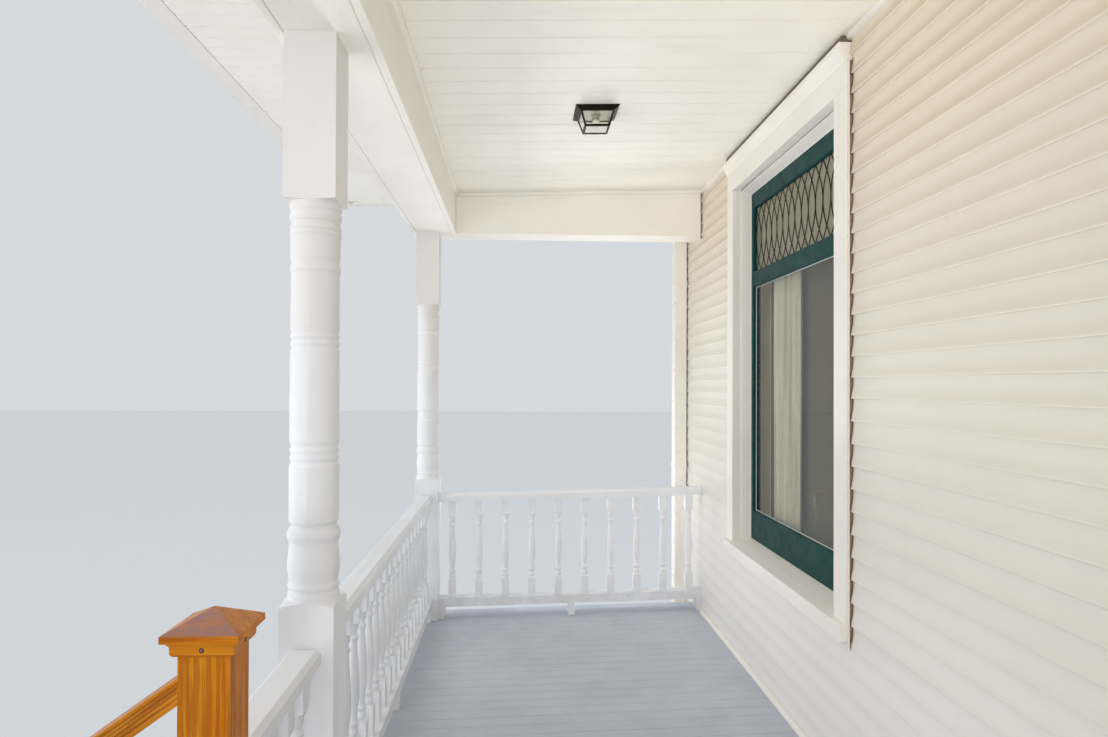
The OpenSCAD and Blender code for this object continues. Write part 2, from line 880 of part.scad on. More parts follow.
// Saw-tooth side of a cut stringer, in Y and Z
module stringer_profile() {
    teeth = [for (i = [1:risers - 1]) each [
        [rim_y - (risers - i) * tread_run + riser_t, (i - 1) * riser_h - (i > 1 ? tread_t : 0)],
        [rim_y - (risers - i) * tread_run + riser_t, i * riser_h - tread_t]]];
    polygon(concat(teeth, [[rim_y, (risers - 1) * riser_h - tread_t],
        [rim_y, (risers - 1) * riser_h - tread_t - 220],
        [stair_y + riser_t + 260, 0]]));
}

module stair_stringers() {
    x1 = stair_w / 2;
    color(white) placed() for (x = [-x1, -stringer_t / 2, x1 - stringer_t])
        along_x(x, x + stringer_t) stringer_profile();
}

module stair_treads() {
    color(grey_paint) placed() for (i = [1:risers - 1])
        block([-stair_w / 2, rim_y - (risers - i) * tread_run - board, i * riser_h - tread_t],
            [stair_w / 2, rim_y - (risers - i - 1) * tread_run, i * riser_h]);
}

module stair_risers() {
    color(white) placed() for (i = [1:risers - 1])
        block([-stair_w / 2, rim_y - (risers - i) * tread_run, (i - 1) * riser_h],
            [stair_w / 2, rim_y - (risers - i) * tread_run + riser_t, i * riser_h - tread_t]);
}

// Newel cap, its tip at z = 0: low pyramid, flat edge, fillet and bed moulding
cap_half = 66.5;
cap_profile = [[0, 0], [cap_half, -33], [cap_half, -45.5], [cap_half - 7, -45.5],
    [cap_half - 7.5, -49], [cap_half - 10.5, -52], [cap_half - 12, -56], [cap_half - 12, -66],
    [cap_half - 13.5, -69.5], [cap_half - 16.5, -72.5], [0, -72.5]];

module newel_post(foot_z, tip_z) {
    translate([-newel / 2, -newel / 2, foot_z]) cube([newel, newel, tip_z - 60 - foot_z]);
    translate([0, 0, tip_z]) mitred(cap_profile);
}

function handrail_z(y) = floor_h + handrail_h + (y - newel_y + newel / 2) * stair_slope;
foot_newel_tip = handrail_z(foot_newel_y) + newel_h - handrail_h + 20;

// Two newels on the floor and two at the foot of the stair
module newels() {
    color(stain) placed() both_sides() {
        above_floor() translate([newel_x, newel_y, 0])
            newel_post(floor_h - 40, floor_h + newel_h);
        translate([newel_x, foot_newel_y, 0]) newel_post(0, foot_newel_tip);
    }
}

// Handrail section with four reeds in each side, top at y = 0
handrail_w = 84;
handrail_t = 39;

module handrail_section() {
    difference() {
        translate([-handrail_w / 2, -handrail_t]) square([handrail_w, handrail_t]);
        for (x = [-handrail_w / 2, handrail_w / 2], d = [8, 15, 22, 29])
            translate([x, -d]) rotate(45) square(3.6, center = true);
    }
}

module stair_handrails() {
    slope = atan(stair_slope);
    y_top = newel_y - newel / 2;
    y_low = foot_newel_y + newel / 2;
    color(stain) placed() both_sides() intersection() {
        translate([newel_x, y_top, handrail_z(y_top)]) rotate([slope, 0, 0])
            along_y(-1800, 200) handrail_section();
        block([newel_x - 60, y_low, 0], [newel_x + 60, y_top, 3000]);
    }
}

// Ceiling lanterns

lantern_y = 903;
lantern_pan = 95.5;
lantern_neck = 75.5;
lantern_foot = 55;
pan_h = 15;
lantern_h = 81;
lantern_bar = 8;
lantern_wall = 4;

// Half width of the lantern's body at a height under the ceiling
function lantern_half(z) =
    lantern_neck + (z + pan_h) * (lantern_neck - lantern_foot) / (lantern_h - pan_h);

module at_lantern() {
    rise = atan((ceiling_back - ceiling_front) / (siding_y - ceil_y0));
    both_sides() translate([window_x, lantern_y, ceiling_z(lantern_y)]) rotate([rise, 0, 0])
        children();
}

module lantern_frames() {
    inner = -pan_h + 3;
    under = -lantern_h - 1;
    pane_top = -pan_h - 2;
    pane_low = -lantern_h + lantern_bar;
    color(bronze) placed() at_lantern() {
        difference() {
            // ceiling pan and tapered body
            mitred([[0, 0], [lantern_pan, 0], [lantern_pan, -3], [lantern_neck, -pan_h],
                [lantern_foot, -lantern_h], [0, -lantern_h]]);
            mitred([[0, inner], [lantern_half(inner) - lantern_wall, inner],
                [lantern_half(under) - lantern_wall, under], [0, under]]);
            // clear panes on all four sides
            for (a = [0, 90]) rotate([0, 0, a]) along_y(-150, 150)
                polygon([for (q = [[-1, pane_top], [1, pane_top], [1, pane_low], [-1, pane_low]])
                    [q[0] * (lantern_half(q[1]) - lantern_bar), q[1]]]);
        }
        // foot frame
        difference() {
            mitred([[0, pane_low - 1], [lantern_half(pane_low - 1) - 1, pane_low - 1],
                [lantern_foot - 1, -lantern_h], [0, -lantern_h]]);
            translate([0, 0, -lantern_h - 1]) linear_extrude(lantern_bar + 2)
                square(2 * (lantern_foot - lantern_bar), center = true);
        }
        // lamp holder and bulb
        translate([0, 0, inner]) mirror([0, 0, 1]) rotate_extrude()
            polygon([[0, -1], [16, -1], [16, 16], [13, 18], [18, 28], [20, 36], [17, 46],
                [10, 52], [0, 54]]);
    }
}

module lantern_glass() {
    top = -pan_h + 3;
    low = -lantern_h + lantern_bar - 1;
    color(glass_tint) placed() at_lantern() difference() {
        mitred([[0, top], [lantern_half(top) - lantern_wall, top],
            [lantern_half(low) - lantern_wall, low], [0, low]]);
        mitred([[0, top + 1], [lantern_half(top + 1) - lantern_wall - 3, top + 1],
            [lantern_half(low + 3) - lantern_wall - 3, low + 3], [0, low + 3]]);
    }
}

house_foundation();
left_wall();
entry_wall();
right_wall();
corner_boards();
window_frames();
window_sashes();
door_frame();
front_door();
glazing();
porch_piers();
floor_girders();
floor_joists();
front_rim_board();
end_rim_boards();
floor_boards();
front_skirting();
end_skirting();
turned_posts();
front_beam();
end_beams();
ceiling();
ceiling_trim();
front_soffit();
end_soffits();
front_fascia();
end_fascias();
front_gutter();
end_gutters();
downspouts();
front_roof_slope();
end_roof_slopes();
left_railing();
right_railing();
left_short_railing();
right_short_railing();
left_end_railing();
right_end_railing();
stair_stringers();
stair_treads();
stair_risers();
newels();
stair_handrails();
lantern_frames();
lantern_glass();
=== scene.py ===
import bpy
import math
import random
from mathutils import Matrix, Vector


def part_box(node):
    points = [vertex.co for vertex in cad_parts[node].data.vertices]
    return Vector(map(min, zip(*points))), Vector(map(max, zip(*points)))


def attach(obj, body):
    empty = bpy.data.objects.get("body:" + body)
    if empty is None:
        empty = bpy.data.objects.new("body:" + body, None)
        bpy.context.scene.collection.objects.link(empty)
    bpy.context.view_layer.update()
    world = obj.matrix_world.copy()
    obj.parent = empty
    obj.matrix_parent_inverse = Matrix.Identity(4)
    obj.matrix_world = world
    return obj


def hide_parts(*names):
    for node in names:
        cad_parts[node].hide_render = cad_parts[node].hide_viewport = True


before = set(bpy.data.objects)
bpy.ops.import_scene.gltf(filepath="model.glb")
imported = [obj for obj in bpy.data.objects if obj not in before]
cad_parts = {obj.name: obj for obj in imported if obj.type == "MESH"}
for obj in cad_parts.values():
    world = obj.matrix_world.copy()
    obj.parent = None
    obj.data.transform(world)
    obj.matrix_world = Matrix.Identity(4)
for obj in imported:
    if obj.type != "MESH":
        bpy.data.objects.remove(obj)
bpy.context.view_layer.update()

MM = 0.001

# Values repeated from the part's source, in millimetres. Y is measured from the post
# centre line there, and MID shifts it into the frame of the part's middle.
FLOOR_H, FALL, FLOOR_EDGE, FLOOR_T = 740.0, 0.023, 138.0, 25.0
DEPTH = 1733.0
WALL_T = 190.0
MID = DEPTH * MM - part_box("floor_boards")[1].y
POST_X = (-3862.5, -1287.5, 1287.5, 3862.5)
FLOOR_X, WALL_X, BEAM_X = 4012.5, 4360.5, 4041.5
CEIL_X = BEAM_X - 200.0
CEIL_Y0, CEIL_FRONT, CEIL_BACK = 169.0, 3395.0, 3440.0
BEAM_Z, SOFFIT_Z, BEAM_OUT = 3149.0, 3450.0, 101.0
GUTTER_X, GUTTER_Y, GUTTER_W = 4452.5, -688.0, 80.0
FASCIA_X, FASCIA_Y = GUTTER_X - GUTTER_W, GUTTER_Y + GUTTER_W
ROOF_Z, RISE, ROOF_T = 3590.0, 0.25, 30.0 * math.sqrt(1 + 0.25 ** 2)
WINDOW_X, WINDOW_W, CASING, CROWN_H = 2470.0, 1262.0, 98.0, 64.0
WALL_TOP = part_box("left_wall")[1].z / MM
FOUND_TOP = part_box("left_wall")[0].z / MM
CORNER_IN = WALL_X - 76
STEP_H, STEP_D, STAIR_HALF = (FLOOR_H - FALL * FLOOR_EDGE) / 4, 260, 522.5


def floor_z(y):
    return FLOOR_H + y * FALL


def ceiling_z(y):
    return CEIL_FRONT + (CEIL_BACK - CEIL_FRONT) * (y - CEIL_Y0) / (DEPTH - CEIL_Y0)


def roof_z(y):
    return ROOF_Z + (y - FASCIA_Y) * RISE + ROOF_T


def end_roof_z(x):
    return ROOF_Z + (FASCIA_X - x) * RISE + ROOF_T


# The openings: outer faces of the window casings, door opening, heads and crowns
WIN_IN, WIN_OUT = (WINDOW_X + e * (WINDOW_W / 2 + CASING) for e in (-1, 1))
DOOR_HALF = 457
DOOR_OUT = DOOR_HALF + CASING
DOOR_FOOT = floor_z(DEPTH) + 27
DOOR_HEAD = floor_z(DEPTH) + 3 + 24 + 2045 + 3
DOOR_TOP = DOOR_HEAD + CASING + CROWN_H
WINDOW_TOP = CEIL_BACK - 30
WINDOW_HEAD = WINDOW_TOP - CROWN_H - CASING
APRON_FOOT = FLOOR_H + 650 - 26 - 60


# ---------------------------------------------------------------- camera

PHOTO_W, PHOTO_H = 1108, 737
EYE = Vector((0.7775, 0.0595, 2.199))
FOCAL_PX, VANISH_X, HORIZON_Y = 734.0, 518.0, 385.0
PITCH, ROLL = math.radians(0.49), math.radians(0.21)


def make_camera():
    """Stands on the porch floor by the stair and looks along the porch."""
    data = bpy.data.cameras.new("camera")
    data.sensor_width = 36.0
    data.lens = data.sensor_width * FOCAL_PX / PHOTO_W
    yaw = math.atan((PHOTO_W / 2 - VANISH_X) / FOCAL_PX)
    look = Vector((-math.cos(yaw) * math.cos(PITCH), math.sin(yaw) * math.cos(PITCH),
                   math.sin(PITCH)))
    right = look.cross(Vector((0, 0, 1))).normalized()
    rot = Matrix((right, right.cross(look), -look)).transposed().to_4x4()
    cam = bpy.data.objects.new("camera", data)
    cam.matrix_world = Matrix.Translation(EYE) @ rot @ Matrix.Rotation(ROLL, 4, "Z")
    data.shift_y = (HORIZON_Y - PHOTO_H / 2 - FOCAL_PX * math.tan(PITCH)) / PHOTO_W
    bpy.context.scene.collection.objects.link(cam)
    bpy.context.scene.camera = cam


make_camera()


# ---------------------------------------------------------------- mesh building

def add_mesh(name, verts, faces, materials):
    """A mesh object from points in millimetres, measured as in the part's source."""
    mesh = bpy.data.meshes.new(name)
    mesh.from_pydata([(x * MM, y * MM - MID, z * MM) for x, y, z in verts], [], faces)
    for m in materials:
        mesh.materials.append(m)
    obj = bpy.data.objects.new(name, mesh)
    bpy.context.scene.collection.objects.link(obj)
    return obj, mesh


class Build:
    """Collects closed solids, in millimetres, and turns them into one piece."""

    def __init__(self):
        self.verts, self.faces, self.mats, self.shares = [], [], [], []

    def solid(self, verts, faces, mat=0):
        """Adds one closed solid, its faces turned outward; mat may hold one per face."""
        o = Vector(verts[0])
        vol = 0.0
        for f in faces:
            a = Vector(verts[f[0]]) - o
            for i in range(1, len(f) - 1):
                vol += a.dot((Vector(verts[f[i]]) - o).cross(Vector(verts[f[i + 1]]) - o))
        base = len(self.verts)
        self.verts += [tuple(v) for v in verts]
        for f in faces:
            g = [base + i for i in f]
            self.faces.append(g[::-1] if vol < 0 else g)
        self.mats += mat if isinstance(mat, list) else [mat] * len(faces)

    def loft(self, rings, mat=0, loop=False):
        """Skins rings of equal point count; the ends are capped unless it is a loop.
        A list of materials goes round the ring, one for each of its edges."""
        n = len(rings[0])
        count = len(rings) if loop else len(rings) - 1
        faces = []
        for i in range(count):
            a, b = i * n, ((i + 1) % len(rings)) * n
            faces += [(a + j, a + (j + 1) % n, b + (j + 1) % n, b + j) for j in range(n)]
        if not loop:
            faces += [tuple(range(n))[::-1], tuple(range(count * n, (count + 1) * n))]
        if isinstance(mat, list):
            mat = mat * count + [mat[0]] * (len(faces) - n * count)
        self.solid([p for r in rings for p in r], faces, mat)

    def block(self, lo, hi, mat=0, ease=0.0):
        """A box between two corners, left and right in any order; ease chamfers it."""
        (y0, z0), (y1, z1), (x0, x1) = lo[1:], hi[1:], sorted((lo[0], hi[0]))
        if ease <= 0:
            v = [(x, y, z) for z in (z0, z1) for y in (y0, y1) for x in (x0, x1)]
            self.solid(v, [(0, 2, 3, 1), (4, 5, 7, 6), (0, 1, 5, 4), (2, 6, 7, 3),
                           (0, 4, 6, 2), (1, 3, 7, 5)], mat)
            return
        rings = []
        for z, s in ((z0, ease), (z0 + ease, 0), (z1 - ease, 0), (z1, ease)):
            a, b, c, d = x0 + s, x1 - s, y0 + s, y1 - s
            rings.append([(a + ease, c, z), (b - ease, c, z), (b, c + ease, z),
                          (b, d - ease, z), (b - ease, d, z), (a + ease, d, z),
                          (a, d - ease, z), (a, c + ease, z)])
        self.loft(rings, mat)

    def along(self, section, s0, s1, mat=0):
        """Sweeps a closed section of (y, z) points along x."""
        self.loft([[(s, y, z) for y, z in section] for s in (s0, s1)], mat)

    def lathe(self, centre, profile, mat=0, n=20, axis="z"):
        """Turned solid from (radius, height) pairs, closed at both ends."""
        turn = {"x": (2, 0, 1), "y": (1, 2, 0), "z": (0, 1, 2)}[axis]
        rings = []
        for r, h in profile:
            ring = []
            for i in range(n):
                a = 2 * math.pi * i / n
                p = (max(r, 0.01) * math.cos(a), max(r, 0.01) * math.sin(a), h)
                ring.append(tuple(c + p[t] for c, t in zip(centre, turn)))
            rings.append(ring)
        self.loft(rings, mat)

    def path(self, points, w, h, loop=False):
        """A bar of w by h that follows points lying in an upright plane along x."""
        side = Vector((0, 1, 0))
        pts = [Vector(p) for p in points]
        rings = []
        for i, p in enumerate(pts):
            a = pts[i - 1] if (i or loop) else p
            b = pts[(i + 1) % len(pts)] if (i < len(pts) - 1 or loop) else p
            n = (b - a).normalized().cross(side).normalized() * (w / 2)
            s = side * (h / 2)
            rings.append([p - n - s, p + n - s, p + n + s, p - n + s])
        self.loft(rings, 0, loop)

    def piece(self, name, *materials, smooth=None, slot=None, replaces=()):
        """Makes the piece; edges flatter than smooth, in degrees, are shaded round."""
        obj, mesh = add_mesh(name, self.verts, self.faces, materials)
        mesh.polygons.foreach_set("material_index", self.mats)
        if self.shares:
            mesh.attributes.new("share", "FLOAT", "POINT").data.foreach_set(
                "value", self.shares)
        if smooth:
            mesh.polygons.foreach_set("use_smooth", [True] * len(mesh.polygons))
            mesh.set_sharp_from_angle(angle=math.radians(smooth))
        mesh.validate()
        mesh.update()
        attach(obj, "root")
        if replaces:
            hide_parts(*replaces)
        return obj


def clip(poly, a, b, c):
    """The part of a plan polygon where a*x + b*y <= c."""
    out = []
    for i, p in enumerate(poly):
        q = poly[(i + 1) % len(poly)]
        dp, dq = a * p[0] + b * p[1] - c, a * q[0] + b * q[1] - c
        if dp <= 0:
            out.append(p)
        if (dp < 0) != (dq < 0) and abs(dp - dq) > 1e-12:
            t = dp / (dp - dq)
            out.append((p[0] + (q[0] - p[0]) * t, p[1] + (q[1] - p[1]) * t))
    return out


def wave(seed, lengths=(2900, 1270, 610), weights=(1.0, 0.6, 0.35)):
    """A smooth wandering function of one coordinate in millimetres, about -1 to 1."""
    rnd = random.Random(seed)
    parts = [(w, 2 * math.pi / (l * rnd.uniform(0.85, 1.15)), rnd.uniform(0, 6.28))
             for l, w in zip(lengths, weights)]
    total = sum(weights)
    return lambda s: sum(w * math.sin(k * s + p) for w, k, p in parts) / total


# ---------------------------------------------------------------- materials

class Nodes:
    """Shorthand for building a shader node tree."""

    def __init__(self, tree):
        self.tree = tree

    def new(self, kind, **props):
        node = self.tree.nodes.new(kind)
        for k, v in props.items():
            setattr(node, k, v)
        return node

    def link(self, a, b):
        self.tree.links.new(a, b)

    def put(self, socket, value):
        if isinstance(value, bpy.types.NodeSocket):
            self.link(value, socket)
        elif isinstance(value, tuple) and len(value) == 3 and socket.type == "RGBA":
            socket.default_value = (*value, 1)
        else:
            socket.default_value = value

    def fill(self, node, **inputs):
        for k, v in inputs.items():
            self.put(node.inputs[k.replace("_", " ")], v)
        return node

    def math(self, op, a, b=0.0, c=0.0):
        n = self.new("ShaderNodeMath", operation=op)
        for i, v in enumerate((a, b, c)):
            self.put(n.inputs[i], v)
        return n.outputs[0]

    def times(self, a, b):
        return self.math("MULTIPLY", a, b)

    def blend(self, fac, a, b):
        """Mixes two shaders."""
        n = self.new("ShaderNodeMixShader")
        for i, v in enumerate((fac, a, b)):
            self.link(v, n.inputs[i])
        return n.outputs[0]

    def seen(self):
        """One for rays by which the backdrop is seen, straight, mirrored or through glass."""
        ray = self.new("ShaderNodeLightPath").outputs
        both = self.math("MAXIMUM", ray["Is Camera Ray"], ray["Is Glossy Ray"])
        return self.math("MAXIMUM", both, ray["Is Transmission Ray"])


class Mat(Nodes):
    """A procedural material on the object's own coordinates."""

    def __init__(self, name):
        self.mat = bpy.data.materials.new(name)
        self.mat.use_nodes = True
        super().__init__(self.mat.node_tree)
        self.bsdf = self.tree.nodes["Principled BSDF"]
        self.end = self.tree.nodes["Material Output"].inputs["Surface"]
        self.coord = self.new("ShaderNodeTexCoord").outputs["Object"]

    def scaled(self, scale=(1, 1, 1), turn=(0, 0, 0)):
        return self.fill(self.new("ShaderNodeMapping"), Vector=self.coord, Scale=scale,
                         Rotation=turn).outputs[0]

    def noise(self, vec, scale, detail=4.0, rough=0.55, distort=0.0):
        return self.fill(self.new("ShaderNodeTexNoise"), Vector=vec, Scale=scale,
                         Detail=detail, Roughness=rough, Distortion=distort).outputs["Fac"]

    def voronoi(self, vec, scale, out="Distance"):
        return self.fill(self.new("ShaderNodeTexVoronoi"), Vector=vec,
                         Scale=scale).outputs[out]

    def band(self, value, lo, hi, out_lo=0.0, out_hi=1.0):
        n = self.new("ShaderNodeMapRange", interpolation_type="SMOOTHSTEP")
        return self.fill(n, Value=value, From_Min=lo, From_Max=hi, To_Min=out_lo,
                         To_Max=out_hi).outputs["Result"]

    def share(self):
        """How far up its course a point of the siding lies, 0 at the butt."""
        return self.new("ShaderNodeAttribute", attribute_name="share").outputs["Fac"]

    def split(self, vec):
        return self.fill(self.new("ShaderNodeSeparateXYZ"), Vector=vec).outputs

    def axis(self, i):
        return self.split(self.coord)[i]

    def facing(self):
        return self.split(self.new("ShaderNodeNewGeometry").outputs["Normal"])

    def mix(self, fac, a, b, kind="MIX"):
        n = self.new("ShaderNodeMix", data_type="RGBA", blend_type=kind)
        for i, v in ((0, fac), (6, a), (7, b)):
            self.put(n.inputs[i], v)
        return n.outputs[2]

    def over(self, below, value, lo, hi, amount, colour):
        """Lays a colour over what is below where value rises from lo to hi."""
        return self.mix(self.times(self.band(value, lo, hi), amount), below, colour)

    def bump(self, height, strength, distance, below=None):
        n = self.fill(self.new("ShaderNodeBump"), Strength=strength, Distance=distance,
                      Height=height)
        if below is not None:
            self.link(below, n.inputs["Normal"])
        return n.outputs[0]

    def out(self, colour, rough, normal, **more):
        self.fill(self.bsdf, Base_Color=colour, Roughness=rough, Normal=normal, **more)
        return self.mat


def srgb(*colour):
    """An sRGB colour of 0 to 255 as linear values."""
    return tuple(c / 255 / 12.92 if c / 255 <= 0.04045 else ((c / 255 + 0.055) / 1.055) ** 2.4
                 for c in colour)


def shade(col, k, warm=0.0):
    """A colour made lighter or darker, and warmer."""
    return tuple(min(1, c * k * t) for c, t in zip(col, (1 + warm, 1, 1 - warm)))


AXIS_SCALE = {"x": (0.12, 1, 1), "y": (1, 0.12, 1), "z": (1, 1, 0.12)}
CHIPPED = (0.42, 0.40, 0.37)
# A warm, darker tint laid on high up as painted warm shade.
PAINTED_WARM_SHADE = (0.93, 0.885, 0.83)


def paint(name, col, axis, dirt=0.35, dust=None, chips=0.0, warm=None):
    """Brushed house paint on boards that run along an axis, with grime in it. Dirt and
    painted shade darken it up to about the height dust, and from the height warm upward
    a painted warm shade tints it."""
    m = Mat(name)
    flow, plain = m.scaled(AXIS_SCALE[axis]), m.scaled()
    cloud = m.noise(plain, 2.3, 5, 0.6)
    c = m.mix(m.band(cloud, 0.3, 0.72), shade(col, 0.965, 0.012), shade(col, 1.02))
    c = m.over(c, m.noise(flow, 9, 6, 0.66, 0.3), 0.56, 0.74, dirt, shade(col, 0.80, 0.035))
    c = m.over(c, m.noise(plain, 160, 2, 0.5), 0.70, 0.76, 0.30 * dirt, shade(col, 0.50, 0.08))
    if dust is not None:
        # dirt and painted shade: darker toward the foot, in patches
        fade = m.times(m.band(m.axis(2), dust - 0.02, dust + 0.22, 1, 0),
                       m.band(m.noise(plain, 11, 5, 0.65), 0.32, 0.66))
        c = m.mix(m.times(fade, 0.5), c, shade(col, 0.70, 0.06))
    if chips:
        c = m.over(c, m.noise(flow, 34, 7, 0.7, 0.5), 0.665, 0.70, chips, CHIPPED)
    if warm is not None:
        # painted warm shade from the height warm upward
        c = m.mix(m.band(m.axis(2), warm, warm + 0.9), c, PAINTED_WARM_SHADE, "MULTIPLY")
    r = m.band(m.noise(flow, 26, 4), 0.3, 0.7, 0.40, 0.58)
    n = m.bump(m.noise(flow, 95, 5, 0.62, 0.4), 0.25, 0.0012)
    return m.out(c, r, m.bump(m.noise(flow, 420, 3, 0.6), 0.20, 0.0003, n))


def vinyl_siding():
    """Cream vinyl with an embossed wood grain that runs along each course. Painted shade
    darkens each course toward the butt above it, more so the higher it lies; painted light
    cools the colour low on the wall and warms and darkens it high up, and a painted
    highlight lightens the bevel under each butt."""
    m = Mat("cream_siding")
    col = srgb(236, 230, 219)
    grain_v, plain = m.scaled((0.05, 1, 1)), m.scaled()
    grain = m.noise(grain_v, 330, 4, 0.62, 0.6)
    cloud = m.noise(plain, 1.4, 4, 0.55)
    c = m.mix(m.band(cloud, 0.3, 0.7), shade(col, 0.975, 0.006), shade(col, 1.015))
    c = m.over(c, grain, 0.52, 0.70, 0.16, shade(col, 0.86, 0.02))
    grime = m.noise(m.scaled((1, 1, 0.3)), 4.5, 6, 0.65)
    c = m.over(c, grime, 0.55, 0.8, 0.18, shade(col, 0.84))
    share, z = m.share(), m.axis(2)
    # painted shade: each course darkens toward the butt above it, more the higher it lies
    high = m.math("ADD", m.band(z, 1.5, 2.7, 0.20, 0.42), m.band(z, 2.6, 3.2, 0.0, 0.5))
    deep = m.times(m.band(share, 0.04, 0.74, 1.0, 0.0), high)
    c = m.mix(deep, c, (0.80, 0.77, 0.69), "MULTIPLY")
    # painted light: the colour is cooled low on the wall
    c = m.mix(m.band(z, 0.9, 1.9, 1.0, 0.0), c, (1.02, 1.05, 1.12), "MULTIPLY")
    # painted light: the colour is warmed and darkened high on the wall
    c = m.mix(m.band(z, 2.2, 3.2), c, (0.98, 0.92, 0.85), "MULTIPLY")
    # painted highlight: the bevel under each butt is lightened
    c = m.mix(m.band(share, 0.045, 0.06, 0.5, 0.0), c, shade(col, 1.12))
    pore = m.noise(m.scaled((0.09, 1, 1)), 900, 2, 0.5)
    n = m.bump(pore, 0.16, 0.0003, m.bump(grain, 0.42, 0.0011))
    return m.out(c, m.band(m.noise(grain_v, 60, 3), 0.3, 0.7, 0.40, 0.56), n)


def floor_paint(name, axis):
    """Worn blue-grey deck paint with scuffs, foot traffic and dust in the seams."""
    m = Mat(name)
    col = srgb(190, 196, 207)
    flow, plain = m.scaled(AXIS_SCALE[axis]), m.scaled()
    wood = m.noise(flow, 70, 6, 0.66, 0.8)
    cloud = m.noise(plain, 1.9, 6, 0.62)
    c = m.mix(m.band(cloud, 0.28, 0.72), shade(col, 0.90), shade(col, 1.05, 0.01))
    c = m.over(c, wood, 0.50, 0.72, 0.30, shade(col, 0.82, 0.02))
    c = m.over(c, m.noise(plain, 6.5, 8, 0.72), 0.52, 0.78, 0.40, shade(col, 0.74, 0.05))
    c = m.over(c, m.noise(plain, 52, 5, 0.7), 0.69, 0.73, 0.55, shade(col, 0.36, 0.12))
    scuff = m.noise(m.scaled((1, 0.2, 1), (0, 0, 0.9)), 26, 7, 0.74)
    c = m.over(c, scuff, 0.655, 0.70, 0.35, shade(col, 1.18))
    n = m.bump(m.noise(flow, 380, 3, 0.6), 0.18, 0.0004, m.bump(wood, 0.35, 0.0014))
    return m.out(c, m.band(m.noise(plain, 8, 6, 0.65), 0.32, 0.7, 0.42, 0.66), n)


def teal_paint():
    """Dark blue-green sash enamel with faint brush marks."""
    m = Mat("teal_paint")
    col, plain = srgb(0, 60, 59), m.scaled()
    cloud = m.noise(plain, 5, 5, 0.6)
    c = m.mix(m.band(cloud, 0.3, 0.7), shade(col, 0.88), shade(col, 1.10))
    c = m.over(c, m.noise(plain, 24, 7, 0.72), 0.70, 0.76, 0.25, srgb(96, 128, 126))
    n = m.bump(m.noise(m.scaled((1, 1, 0.15)), 300, 3, 0.6), 0.14, 0.0004)
    return m.out(c, m.band(m.noise(plain, 18, 5), 0.3, 0.7, 0.30, 0.44), n,
                 Specular_IOR_Level=0.09)


def stained_pine(name, turn, cap_z=()):
    """Orange stained pine: straight grain along the length, knots, a weathered top. The
    grain is turned to run along the piece; above each height of cap_z it runs across."""
    m = Mat(name)
    z, way = m.axis(2), m.scaled(turn=turn)
    if cap_z:
        (hi, lo), y = cap_z, m.axis(1)
        foot_cap = m.times(m.band(z, lo, lo + 0.001), m.band(y, -1.1, -1.0, 1, 0))
        cap = m.math("MAXIMUM", m.band(z, hi, hi + 0.001), foot_cap)
        across = m.scaled(turn=(math.radians(90), 0, 0))
        both = m.new("ShaderNodeMix", data_type="VECTOR")
        for i, v in ((0, cap), (4, way), (5, across)):
            m.link(v, both.inputs[i])
        way = both.outputs[1]
    m.coord = way
    flow, plain = m.scaled((1, 1, 0.03)), m.scaled()
    slow = m.noise(m.scaled((1, 1, 0.1)), 9, 3, 0.5)
    line = m.noise(flow, 150, 5, 0.6, 0.15)
    fibre = m.noise(flow, 620, 4, 0.66)
    late = m.band(m.math("ADD", line, m.times(slow, 0.25)), 0.58, 0.72)
    cloud = m.noise(m.scaled((1, 1, 0.25)), 17, 5, 0.6, 0.3)
    dark = srgb(148, 72, 4)
    c = m.mix(m.band(cloud, 0.3, 0.7), srgb(206, 122, 8), srgb(224, 148, 30))
    c = m.mix(m.times(late, 0.55), c, dark)
    c = m.over(c, fibre, 0.46, 0.70, 0.34, dark)
    knot = m.voronoi(m.scaled((1, 1, 0.55), (0.2, 0.1, 0.4)), 7.5)
    c = m.mix(m.band(knot, 0.05, 0.13, 0.8, 0), c, srgb(82, 38, 10))
    x, _, up = m.facing()
    top = m.times(m.band(up, 0.45, 0.75), m.band(x, -0.02, 0.2, 0.3, 1.0))
    patch = m.band(m.noise(plain, 34, 6, 0.68, 0.5), 0.34, 0.62)
    c = m.mix(m.times(top, m.math("MULTIPLY_ADD", patch, 0.42, 0.46)), c,
              srgb(150, 118, 116))
    n = m.bump(m.math("ADD", m.times(late, 0.6), fibre), 0.30, 0.0007)
    return m.out(c, m.band(m.noise(plain, 24, 4), 0.3, 0.7, 0.34, 0.50), n,
                 Specular_IOR_Level=0.2)


def wood_raw(name, col, axis):
    """Bare framing timber."""
    m = Mat(name)
    wood = m.noise(m.scaled(AXIS_SCALE[axis]), 60, 6, 0.66, 1.2)
    c = m.mix(m.band(wood, 0.36, 0.68), shade(col, 1.05), shade(col, 0.62, 0.05))
    c = m.over(c, m.noise(m.scaled(), 3, 5), 0.4, 0.75, 0.4, shade(col, 0.6))
    return m.out(c, 0.78, m.bump(wood, 0.5, 0.002))


def mineral(name, col, big=7.0, fine=210.0, depth=0.0022, rough=0.88, spread=0.16):
    """Concrete, brick, mortar or the dark painted shade in channels and gaps: clouded colour,
    grit and pores.
    """
    m = Mat(name)
    plain = m.scaled()
    cloud, grit = m.noise(plain, big, 6, 0.66), m.noise(plain, fine, 4, 0.7)
    c = m.mix(m.band(cloud, 0.28, 0.72), shade(col, 1 - spread, 0.02),
              shade(col, 1 + spread * 0.5))
    c = m.over(c, grit, 0.52, 0.72, 0.35, shade(col, 0.66))
    pits = m.band(m.voronoi(plain, fine * 0.55), 0.0, 0.35)
    return m.out(c, rough, m.bump(m.math("ADD", grit, pits), 0.5, depth))


